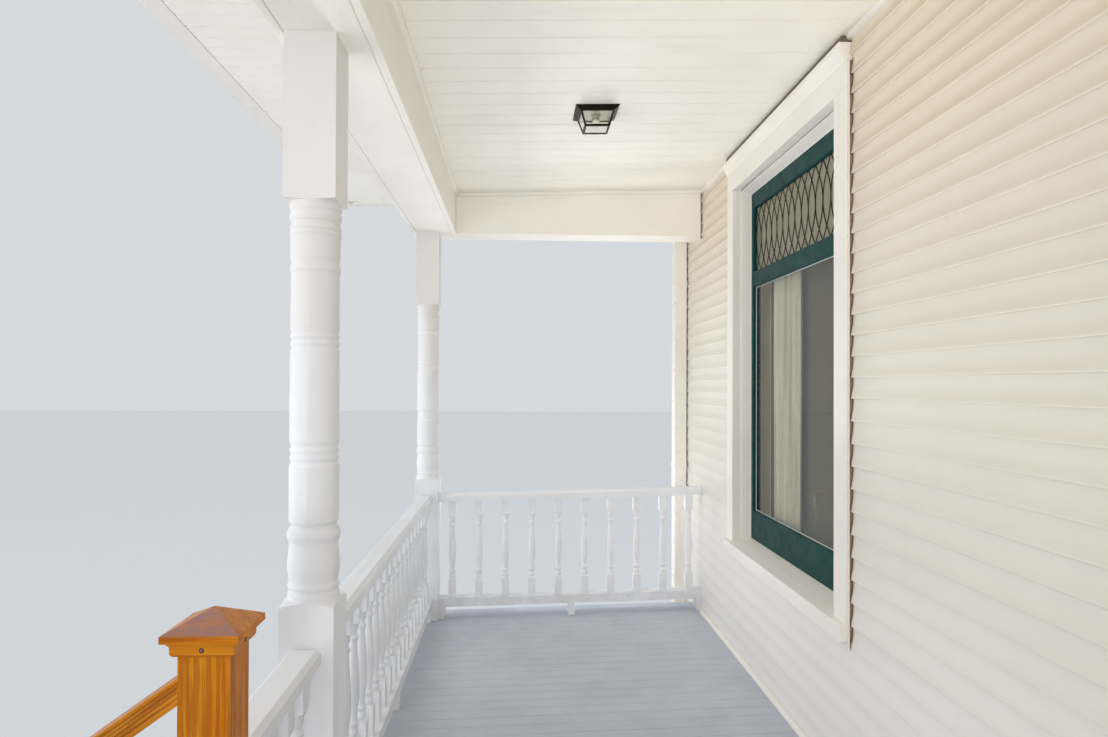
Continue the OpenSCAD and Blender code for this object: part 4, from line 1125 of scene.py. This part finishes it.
def sash_trim():
    """Sloping sash stops in the sash's own paint, and the thin pale bead by the glass."""
    stops, beads = Build(), Build()
    for cx in (-WINDOW_X, WINDOW_X):
        for z0, z1 in (MAIN, TRANSOM):
            frame_bar(stops, cx, HALF + 0.5, z0 - 0.5, z1 + 0.5,
                      [(0, SASH_Y + 1.2), (1.6, SASH_Y + 2.2), (4.8, SASH_Y + 8.0),
                       (6.0, SASH_Y + 12.0), (6.0, GLASS_Y - 0.2), (0, GLASS_Y - 0.2)])
        frame_bar(beads, cx, HALF - 5.2, MAIN[0] + 5.2, MAIN[1] - 5.2,
                  [(0, GLASS_Y - 3.2), (3.4, GLASS_Y - 2.2), (4.0, GLASS_Y - 0.1),
                   (0, GLASS_Y - 0.1)])
    stops.piece("sash_stops", teal_mat, smooth=35, slot="teal_paint")
    beads.piece("glass_beads", putty_mat, slot="white_paint")


def sash_hardware():
    """Small turn buttons that hold each sash in its frame."""
    b, z = Build(), FLOOR_H + 1470
    for s in (-1, 1):
        for e in (-1, 1):
            x = s * (WINDOW_X + e * (WINDOW_W / 2 - 35))
            b.lathe((x, SASH_Y - 0.5, z), [(4.4, 0.6), (4.4, -4.2), (3.2, -5.4), (0, -5.5)],
                    0, 14, "y")
            b.block((x - 6, SASH_Y - 3.2, z - 16), (x + 6, SASH_Y - 0.2, z + 16), 0, 1.2)
    b.piece("sash_buttons", brass_mat, smooth=40)


def cloth_sheet(name, material, s, rows, cols, place, flat=None):
    """A sheet hung behind a window; place(u, t) gives a point in shares across and down.
    Unless flat is given, the length along the folds of a row is worked out as its flat width,
    which is then not used."""
    grid = [place(c / cols, r / rows) for r in range(rows + 1) for c in range(cols + 1)]
    verts = [(s * x, y, z) for x, y, z in grid]
    faces = []
    for r in range(rows):
        for c in range(cols):
            a = r * (cols + 1) + c
            faces.append((a, a + 1, a + cols + 2, a + cols + 1)[::s])
    obj, mesh = add_mesh(name, verts, faces, [material])
    mesh.polygons.foreach_set("use_smooth", [True] * len(faces))
    mesh.update()
    if not flat:
        row = [v.co for v in mesh.vertices][rows // 2 * (cols + 1):][:cols + 1]
        along = sum((a - b).length for a, b in zip(row, row[1:]))
        flat = (round(along, 2), round((verts[0][2] - verts[-1][2]) * MM, 2))
    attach(obj, "root")


def curtains():
    """A gathered voile panel on a slim rod inside each window, and a drawn roller shade, a dark
    sheet of painted shade for the unlit room behind.
    """
    rods, half = Build(), WINDOW_W / 2
    voile_top, voile_foot = FLOOR_H + 2440, FLOOR_H + 668
    shade_top, shade_foot = FLOOR_H + 2452, FLOOR_H + 662
    voile_y, folds = DEPTH + 148, 9
    x0, x1 = WINDOW_X - half + 2, WINDOW_X + half - 2
    for s in (-1, 1):
        for y, z, r, n in ((voile_y, voile_top, 6, 12), (DEPTH + 172, shade_top, 17, 16)):
            rods.along([(y + r * math.cos(2 * math.pi * a / n),
                         z + r * math.sin(2 * math.pi * a / n)) for a in range(n)],
                       s * (x0 - 1), s * (x1 + 1))
    rods.piece("curtain_rods", brass_mat, smooth=40)
    rnd = random.Random(77)
    phases = [rnd.uniform(-0.5, 0.5) for _ in range(folds + 2)]

    def voile(u, t):
        """Gathered in folds that deepen and spread downward, its hem above the stool."""
        f = u * folds
        k = int(min(f, folds - 1e-6))
        wob = phases[k] * (1 - (f - k)) + phases[k + 1] * (f - k)
        y = voile_y + (12.5 + 3.5 * t) * math.sin(2 * math.pi * f + wob * 1.4 * t) \
            + 2.0 * math.sin(5 * t + 3 * u)
        x = WINDOW_X + 130 + 300.0 * (0.5 + (u - 0.5) * (1 + 0.06 * math.sin(math.pi * t))) \
            + 3.0 * math.sin(4 * math.pi * f + wob) * (0.4 + 0.6 * t)
        return x, y, voile_top + (voile_foot - voile_top) * t

    def shade_at(u, t):
        return (x0 + (x1 - x0) * u,
                DEPTH + 188 - 1.2 * math.sin(math.pi * u) * math.sin(math.pi * t),
                shade_top - (shade_top - shade_foot) * t)

    for s, tag in ((-1, "left"), (1, "right")):
        cloth_sheet("sheer_" + tag, sheer_mat, s, 46, 132, voile)
        # the roller shade: a dark sheet of painted shade
        cloth_sheet("shade_" + tag, shade_mat, s, 24, 16, shade_at,
                    ((x1 - x0) * MM, (shade_top - shade_foot) * MM))


window_casings()
sash_frames()
door_casings()
panes()
cames()
sash_trim()
sash_hardware()
curtains()


# ---------------------------------------------------------------- door

def door_details():
    """Panel mouldings, hinges and a lock on the entry door."""
    mould, metalwork = Build(), Build()
    face, z0, rim = DEPTH + 60, DOOR_FOOT, [(0, -3.5), (5, -5.0), (12, -2.0)]

    def moulding(a, c, rest):
        frame_bar(mould, 0, 307.2, z0 + a - 0.2, z0 + c + 0.2,
                  [(i, face + y) for i, y in rim + rest])

    for a, c in ((250, 600), (690, 1040)):
        moulding(a, c, [(20, 6.0), (22, 10.2), (0, 10.2)])
        mould.loft([[(x * e, face + y, z) for e, z in (
            (-1, z0 + a + inset), (1, z0 + a + inset), (1, z0 + c - inset),
            (-1, z0 + c - inset))] for x, y, inset in ((262, 10.1, 45), (238, 4.5, 69))])
    moulding(*DOOR_GLASS, [(17, 8.0), (17, 18.8), (0, 18.8)])
    for z in (z0 + 240, z0 + 1020, z0 + 1800):
        metalwork.lathe((1 - DOOR_HALF, face - 5, z), [(0, 52), (3, 51), (5.5, 46), (5.5, -46),
                                                       (3, -51), (0, -52)], 0, 14)
        metalwork.block((-455, face - 1.6, z - 45), (-432, face + 0.2, z + 45), 0, 0.6)
    kx, kz = DOOR_HALF - 70, z0 + 960
    knob = [(30.5, 0.2), (30.5, -4.2), (24.4, -8.2), (10.4, -10.2), (9.6, -33.8),
            (20.4, -39.8), (27.4, -50), (26.4, -60.2), (16.4, -67.4), (0, -69.4)]
    bolt = [(23, 0.2), (23, -1), (22, -4), (13.5, -6), (13, -12), (11, -15), (0, -15)]
    metalwork.lathe((kx, face, kz), knob, 0, 28, "y")
    metalwork.lathe((kx, face, kz + 112), bolt, 0, 24, "y")
    metalwork.block((kx - 3, face - 27, kz + 107), (kx + 3, face - 14, kz + 117), 0, 1.0)
    mould.piece("door_mouldings", teal_mat, smooth=30, slot="teal_paint")
    metalwork.piece("door_hardware", brass_mat, smooth=35)


door_details()


# ---------------------------------------------------------------- lanterns

LANTERN_Y = 903.0


def lantern(s, bars, glazing, lamp):
    """Ceiling lantern: folded pan, tapered body of corner bars and clear panes, one lamp.
    Heights are measured square to the ceiling and down from it."""
    slope = math.atan((CEIL_BACK - CEIL_FRONT) / (DEPTH - CEIL_Y0))
    cr, sr = math.cos(slope), math.sin(slope)

    def at(x, y, z):
        return (s * (WINDOW_X + x), LANTERN_Y + y * cr - z * sr,
                ceiling_z(LANTERN_Y) + y * sr + z * cr)

    def half_at(z):
        return 75.5 + (z + 15) * (75.5 - 55.0) / (81 - 15)

    def square(half, z):
        return [at(-half, -half, z), at(half, -half, z), at(half, half, z), at(-half, half, z)]

    # pan against the ceiling: rolled edge, sloping sides, band round the neck
    neck = half_at(-16)
    bars.loft([square(94.5, 0.6), square(95.5, -0.4), square(95.5, -3), square(94.2, -4.2),
               square(77.0, -14.6), square(half_at(-15) + 0.3, -15.4),
               square(half_at(-21) + 0.3, -21), square(half_at(-21) - 2.2, -21),
               square(neck - 3.0, -13.4)])
    # white reflector under the pan
    lamp.loft([square(neck - 3.4, -13.6), square(neck - 3.4, -15.4)], 2)
    w, t = 8.3, 2.4
    for sx in (-1, 1):
        for sy in (-1, 1):
            rings = []
            for z in (-18, -77):
                h = half_at(z) + 0.3
                rings.append([at(sx * x, sy * y, z) for x, y in (
                    (h, h), (h - w, h), (h - w, h - t), (h - t, h - t), (h - t, h - w),
                    (h, h - w))])
            bars.loft(rings)
    h0, h1 = half_at(-73) + 0.5, half_at(-81) + 0.5
    ha, hb = half_at(-19) - 2.6, half_at(-77) - 2.6
    for a in range(4):
        c, d = math.cos(a * math.pi / 2), math.sin(a * math.pi / 2)

        def side(points):
            """A ring on this side, from (x, y, z) as for the front."""
            return [at(x * c - y * d, x * d + y * c, z) for x, y, z in points]

        foot = ((h0, 0, -73), (h0, 3, -73), (h0, 4, -78.6), (h1, 7.5, -79), (h1, 7.5, -81),
                (h1, 0, -81))
        bars.loft([side([(e * (h - i), i - h, z) for h, i, z in foot]) for e in (-1, 1)])
        # the pane behind the bars on this side
        glazing.loft([side([(-ha, i - ha, -19), (ha, i - ha, -19), (hb, i - hb, -77),
                            (-hb, i - hb, -77)]) for i in (0, 2.0)])
    glazing.loft([square(51, -76.4), square(51, -78.4)])
    socket = [(13.5, -38), (13.5, -35), (15.5, -35), (17, -33), (16, -18), (22, -17),
              (22, -15), (0, -15)]
    lamp.lathe(at(0, 0, 0), socket, 0, 24)
    lamp.lathe(at(0, 0, 0), [(12.5, -36), (13, -38), (16, -43), (19.5, -49), (20.5, -55),
                             (18.5, -61), (14, -65), (7, -67), (0, -67.6)], 1, 28)


def lanterns():
    bars, glazing, lamp = Build(), Build(), Build()
    for s in (-1, 1):
        lantern(s, bars, glazing, lamp)
    bars.piece("lantern_bars", bronze_mat, slot="dark_bronze", replaces=("lantern_frames",))
    glazing.piece("lantern_panes", lantern_pane_mat, slot="window_glass",
                  replaces=("lantern_glass",))
    lamp.piece("lantern_lamps", socket_mat, bulb_mat, reflector_mat, smooth=40)


lanterns()


# ---------------------------------------------------------------- newels

FOOT_NEWEL_Y = -848.5


def newel_screws():
    """Plugged screw heads on the faces of each newel cap: a dark ring with a pale centre."""
    b = Build()
    ring = [(4.7, -0.6), (4.5, 0.25), (3.8, 0.35), (0, 0.35)]
    head = [(2.25, 0.1), (2.2, 0.5), (1.7, 0.8), (0, 0.85)]
    foot_tip = FLOOR_H + 951 + (FOOT_NEWEL_Y - 22 + 44.5) * STEP_H / STEP_D + 111 + 20
    for y, tip in ((22.0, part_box("newels")[1].z / MM), (FOOT_NEWEL_Y, foot_tip)):
        for s in (-1, 1):
            for dx, dy in ((1, 0), (-1, 0), (0, -1), (0, 1)):
                c = (s * 567 + dx * 54.5, y + dy * 54.5, tip - 61)
                for mat, profile in enumerate((ring, head)):
                    b.lathe(c, [(r, (dx + dy) * h) for r, h in profile], mat, 16,
                            "x" if dx else "y")
    b.piece("cap_screws", plug_mat, steel_mat, smooth=40)


newel_screws()


# ---------------------------------------------------------------- roof covering

def slope_tabs(b, rnd, to_xyz, length, limits):
    """Shingle tabs on one slope: u runs along the eave and v up the slope in plan."""
    step, tab, reach = 140.0 * math.cos(math.atan(RISE)), 305.0, 4600
    for r in range(math.ceil(length / step)):
        v0 = r * step - (6 if r == 0 else 0)
        v1 = min(v0 + step * 1.25, length)
        u = -reach + ((r % 2) * tab / 2 + rnd.uniform(-6, 6))
        while u < reach:
            jag = rnd.uniform(-1.5, 1.5)
            poly = [(u + 3.0, v0 + jag), (u + tab - 3.0, v0 + jag + rnd.uniform(-0.8, 0.8)),
                    (u + tab - 3.0, v1), (u + 3.0, v1)]
            u += tab
            for limit in limits:
                poly = clip(poly, *limit)
            area = abs(sum(p[0] * q[1] - q[0] * p[1]
                           for p, q in zip(poly, poly[1:] + poly[:1]))) / 2
            if area <= 1500:
                continue
            lift, m = rnd.uniform(0.0, 1.0), rnd.choice((0, 0, 1, 1, 2))
            top, bot = [], []
            for p in poly:
                share = min(max((p[1] - v0) / (v1 - v0), 0), 1)
                h = (8.0 + lift) * (1 - share) + 1.6 * share
                top.append(to_xyz(*p, h))
                bot.append(to_xyz(*p, h - 4.0 if share < 0.5 else -0.6))
            b.loft([top, bot], m)


def roof():
    """Shingles on the three slopes, each cut to the hips and the wall, and hip caps."""
    rnd = random.Random(5)
    y_eave, x_eave = FASCIA_Y - 25, FASCIA_X + 25
    run, corner = DEPTH - 2 - y_eave, GUTTER_X + GUTTER_Y
    front, ends, caps = Build(), Build(), Build()
    slope_tabs(front, rnd, lambda u, v, h: (u, y_eave + v, roof_z(y_eave + v) + h), run,
               ((1, 1, corner - y_eave), (-1, 1, corner - y_eave)))
    front.piece("front_shingles", *shingles, slot="shingles")
    for s in (-1, 1):
        slope_tabs(ends, rnd,
                   lambda u, v, h: (s * (x_eave - v), u, end_roof_z(x_eave - v) + h),
                   x_eave - HIP_X, ((-1, 1, x_eave - corner), (1, 0, DEPTH - 15)))
    ends.piece("end_shingles", *shingles, slot="shingles")
    n, flap = 24, 118.0 * 0.7071
    for s in (-1, 1):
        for i in range(n):
            a = i * run / n
            m = rnd.choice((0, 1, 2))
            rings = []
            for v, h in ((a - 3, 12.0), (min(a + run / n * 2.0, run - 4), 6.5)):
                x, y = GUTTER_X - (y_eave + v - GUTTER_Y), y_eave + v
                # the flaps lie on the two slopes either side of the hip
                top = [(s * (x + e * flap), y + e * flap,
                        roof_z(y) + h + (-flap * RISE if e else 1.2)) for e in (-1, 0, 1)]
                rings.append(top + [(px, py, pz - 4.5) for px, py, pz in top[::-1]])
            caps.loft(rings, m)
    caps.piece("hip_caps", *shingles, slot="shingles")


def drip_edges():
    """Metal drip edge under the first course, round the eaves, mitred at the corners."""
    b = Build()
    y, x = FASCIA_Y - 25, FASCIA_X + 25
    z = roof_z(y)
    section = [(5, z - ROOF_T - 10), (4, z - ROOF_T - 10), (2, z - ROOF_T + 4), (2, z - 1),
               (-60, z + 60 * RISE - 0.4), (-60, z + 60 * RISE + 0.6), (4, z + 0.6),
               (4, z - ROOF_T + 4)]
    b.loft([[(s * (GUTTER_X - (y - out - GUTTER_Y)), y - out, h) for out, h in section]
            for s in (-1, 1)])
    for s in (-1, 1):
        b.loft([[(s * (x + out), GUTTER_Y + GUTTER_X - (x + out), h) for out, h in section],
                [(s * (x + out), DEPTH - 14, h) for out, h in section]])
    b.piece("drip_edges", gutter_mat)


def gutter_details():
    """Hangers across the open gutters, straps on the downspouts."""
    b, straps, top = Build(), Build(), SOFFIT_Z + 118

    def hanger(put):
        """A bar from the fascia to the lip; put(across, out) gives a place in plan."""
        b.loft([[(*put(12 * e, out), top + h) for e, h in (
            (-1, low), (1, low), (1, low + 2.5), (-1, low + 2.5))]
            for out, low in ((1, -9), (121, -6))])

    for i in range(11):
        x = -FASCIA_X + 300 + (2 * FASCIA_X - 600) * i / 10
        hanger(lambda across, out: (x + across, FASCIA_Y - out))
    for s in (-1, 1):
        for j in range(4):
            y = FASCIA_Y + 250 + j * 620
            hanger(lambda across, out: (s * (FASCIA_X + out), y + across))
    b.piece("gutter_hangers", gutter_mat)
    cx, y0, y1 = WALL_X - 36 - 51, DEPTH - 13 - 80, DEPTH - 13
    half = [(72, y1 - 0.2), (72, y1 - 2), (53, y1 - 2), (53, y0 - 2)]
    inner = [(51.2, y1 - 0.2), (51.2, y0 - 0.2)]
    outline = [(cx - w, y) for w, y in half] + [(cx + w, y) for w, y in half[::-1] + inner]
    outline += [(cx - w, y) for w, y in inner[::-1]]
    for s in (-1, 1):
        for z in (420.0, 1650.0, 2900.0):
            straps.loft([[(s * px, py, zz) for px, py in outline] for zz in (z - 14, z + 14)])
            for q in (-62, 62):
                straps.lathe((s * (cx + q), y1 - 1.5, z),
                             [(4.5, 0.5), (4.5, -1), (3, -2.6), (0, -3)], 0, 12, "y")
    straps.piece("downspout_straps", gutter_mat)


roof()
drip_edges()
gutter_details()


# ---------------------------------------------------------------- masonry

def rock_block(b, x0, x1, z0, z1, rnd, put):
    """One rock-faced block; put(u, out, z) places a point, out is measured off the face."""
    nx, nz, face, depth = 5, 4, 0.5, 14.0
    verts = []
    for j in range(nz + 1):
        for i in range(nx + 1):
            out, u, z = 0.0, x0 + (x1 - x0) * i / nx, z0 + (z1 - z0) * j / nz
            if 0 < i < nx and 0 < j < nz:
                out = rnd.uniform(3.5, 8.5)
                u += rnd.uniform(-8, 8)
                z += rnd.uniform(-5, 5)
            verts.append(put(u, face + out, z))
    base, w = len(verts), nx + 1
    verts += [put(u, face - depth, z) for u, z in ((x0, z0), (x1, z0), (x1, z1), (x0, z1))]
    faces = [(j * w + i, j * w + i + 1, (j + 1) * w + i + 1, (j + 1) * w + i)
             for j in range(nz) for i in range(nx)]
    bottom, top = list(range(w)), list(range(nz * w, nz * w + w))
    left, right = list(range(0, base, w)), list(range(nx, base, w))
    faces += [tuple(bottom + [base + 1, base])[::-1], tuple(top + [base + 2, base + 3]),
              tuple(left + [base + 3, base]), tuple(right + [base + 2, base + 1])[::-1],
              (base + 3, base + 2, base + 1, base)]
    b.solid(verts, faces)


def foundation():
    """Three courses of rock-faced block on the front and ends of the foundation."""
    rnd = random.Random(31)
    b, wall, half, n = Build(), DEPTH + 10, WALL_X - 10, 22
    h, w = (FOUND_TOP - 8) / 3, 2 * half / n
    for j in range(3):
        z0 = 4 + j * (h + 2)
        z1 = min(z0 + h - 6, FOUND_TOP - 3)
        off = w / 2 if j % 2 else 0
        for i in range(n + 1):
            x0, x1 = -half + i * w - off, -half + (i + 1) * w - off
            x0, x1 = max(x0, -half) + 4, min(x1, half) - 4
            if x1 - x0 >= 30:
                rock_block(b, x0, x1, z0, z1, rnd, lambda u, o, z: (u, wall - o, z))
        for s in (-1, 1):
            rock_block(b, wall + 4, DEPTH + WALL_T - 4, z0, z1, rnd,
                       lambda u, o, z: (s * (half + o), u, z))
    b.piece("foundation_blocks", concrete_mat, slot="masonry")


def brick_piers():
    """Brick piers under the girders, two bricks to a course, turned course by course."""
    rnd = random.Random(41)
    b, core, n = Build(), Build(), 5
    top, y0, y1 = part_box("porch_piers")[1].z / MM, -75.0, 125.0
    h = (top - 14) / n
    for px in POST_X:
        x0, x1 = px - 100, px + 100
        core.block((x0 + 5, y0 + 5, 0), (x1 - 5, y1 - 5, top - 9))
        for k in range(n):
            z0, z1 = k * h + (0 if k == 0 else 5), (k + 1) * h - 5 + (0 if k < n - 1 else 3)
            for j in range(2):
                at = j * 102.5
                if k % 2:
                    lo, hi = (x0, y0 + at), (x1, y0 + at + 97.5)
                else:
                    lo, hi = (x0 + at, y0), (x0 + at + 97.5, y1)
                e = [rnd.uniform(-0.8, 0.6) for _ in range(4)]
                b.block((lo[0] + max(e[0], 0), lo[1] + max(e[1], 0), z0),
                        (hi[0] + min(e[2], 0), hi[1] + min(e[3], 0), z1),
                        rnd.randrange(3), 2.2)
    b.piece("pier_bricks", *bricks, slot="masonry", replaces=("porch_piers",))
    core.piece("pier_mortar", mortar_mat, slot="masonry")


foundation()
brick_piers()


# ---------------------------------------------------------------- stage

scene = bpy.context.scene
scene.view_settings.view_transform = "Standard"
PALE = srgb(214, 218, 222)


def stage_floor():
    """A pale floor that is seen as bright as the backdrop and lit as a floor."""
    mesh = bpy.data.meshes.new("studio_floor")
    r, z = 60.0, -0.001
    mesh.from_pydata([(-r, -r, z), (r, -r, z), (r, r, z), (-r, r, z)], [], [(0, 1, 2, 3)])
    m = Mat("studio_floor")
    c = m.mix(m.band(m.noise(m.scaled(), 0.8, 3), 0.3, 0.7), shade(PALE, 0.99),
              shade(PALE, 1.01))
    m.fill(m.bsdf, Base_Color=c, Roughness=0.9)
    glow = m.fill(m.new("ShaderNodeEmission"), Color=PALE, Strength=1.0)
    m.link(m.blend(m.times(m.seen(), 0.6), m.bsdf.outputs[0], glow.outputs[0]), m.end)
    mesh.materials.append(m.mat)
    floor = bpy.data.objects.new("studio_floor", mesh)
    scene.collection.objects.link(floor)


def world_light(colour, strength):
    """Light from all round, while the camera sees the pale backdrop instead."""
    scene.world = bpy.data.worlds.new("studio")
    scene.world.use_nodes = True
    t = Nodes(scene.world.node_tree)
    sky = t.fill(t.tree.nodes["Background"], Color=colour, Strength=strength)
    backdrop = t.fill(t.new("ShaderNodeBackground"), Color=PALE, Strength=1.0)
    t.link(t.blend(t.seen(), sky.outputs[0], backdrop.outputs[0]),
           t.tree.nodes["World Output"].inputs["Surface"])


def lamp(name, place, target, size, power, colour, spread, glint=False):
    data = bpy.data.lights.new(name, "AREA")
    data.shape = "RECTANGLE"
    data.size, data.size_y = size
    data.energy, data.color, data.spread = power, colour, math.radians(spread)
    obj = bpy.data.objects.new(name, data)
    obj.location = place
    obj.rotation_mode = "QUATERNION"
    obj.rotation_quaternion = (Vector(target) - Vector(place)).to_track_quat("-Z", "Y")
    obj.visible_glossy = obj.visible_transmission = glint
    scene.collection.objects.link(obj)
    return obj


stage_floor()
world_light((0.94, 0.98, 1.03), 0.77)
lamp("street_softbox", (0, -9, 9), (0, 0.2, 2), (14, 5), 300, (0.985, 0.99, 1), 180, True)
bounces = [lamp(*row) for row in (
    ("low_bounce", (0, -5.6, 0.5), (0, -0.6, 3.9), (12, 1.4), 122, (1, 0.985, 0.955), 125),
    ("far_bounce", (-4.9, 0.9, 0.9), (-3.4, 0.9, 3.4), (1.4, 1.2), 9, (1, 0.985, 0.96), 100),
    ("end_bounce_0", (7.6, 0.6, 1.1), (0, 0.8, 2.3), (1.5, 0.9), 21, (1, 0.985, 0.965), 42),
    ("end_bounce_1", (-7.6, 0.6, 1.1), (0, 0.8, 2.4), (1.5, 0.9), 27, (1, 0.985, 0.965), 42))]
unlit = bpy.data.collections.new("unlit_by_bounces")
unlit.objects.link(bpy.data.objects["studio_floor"])
unlit.collection_objects[0].light_linking.link_state = "EXCLUDE"
for obj in bounces:
    obj.light_linking.receiver_collection = unlit
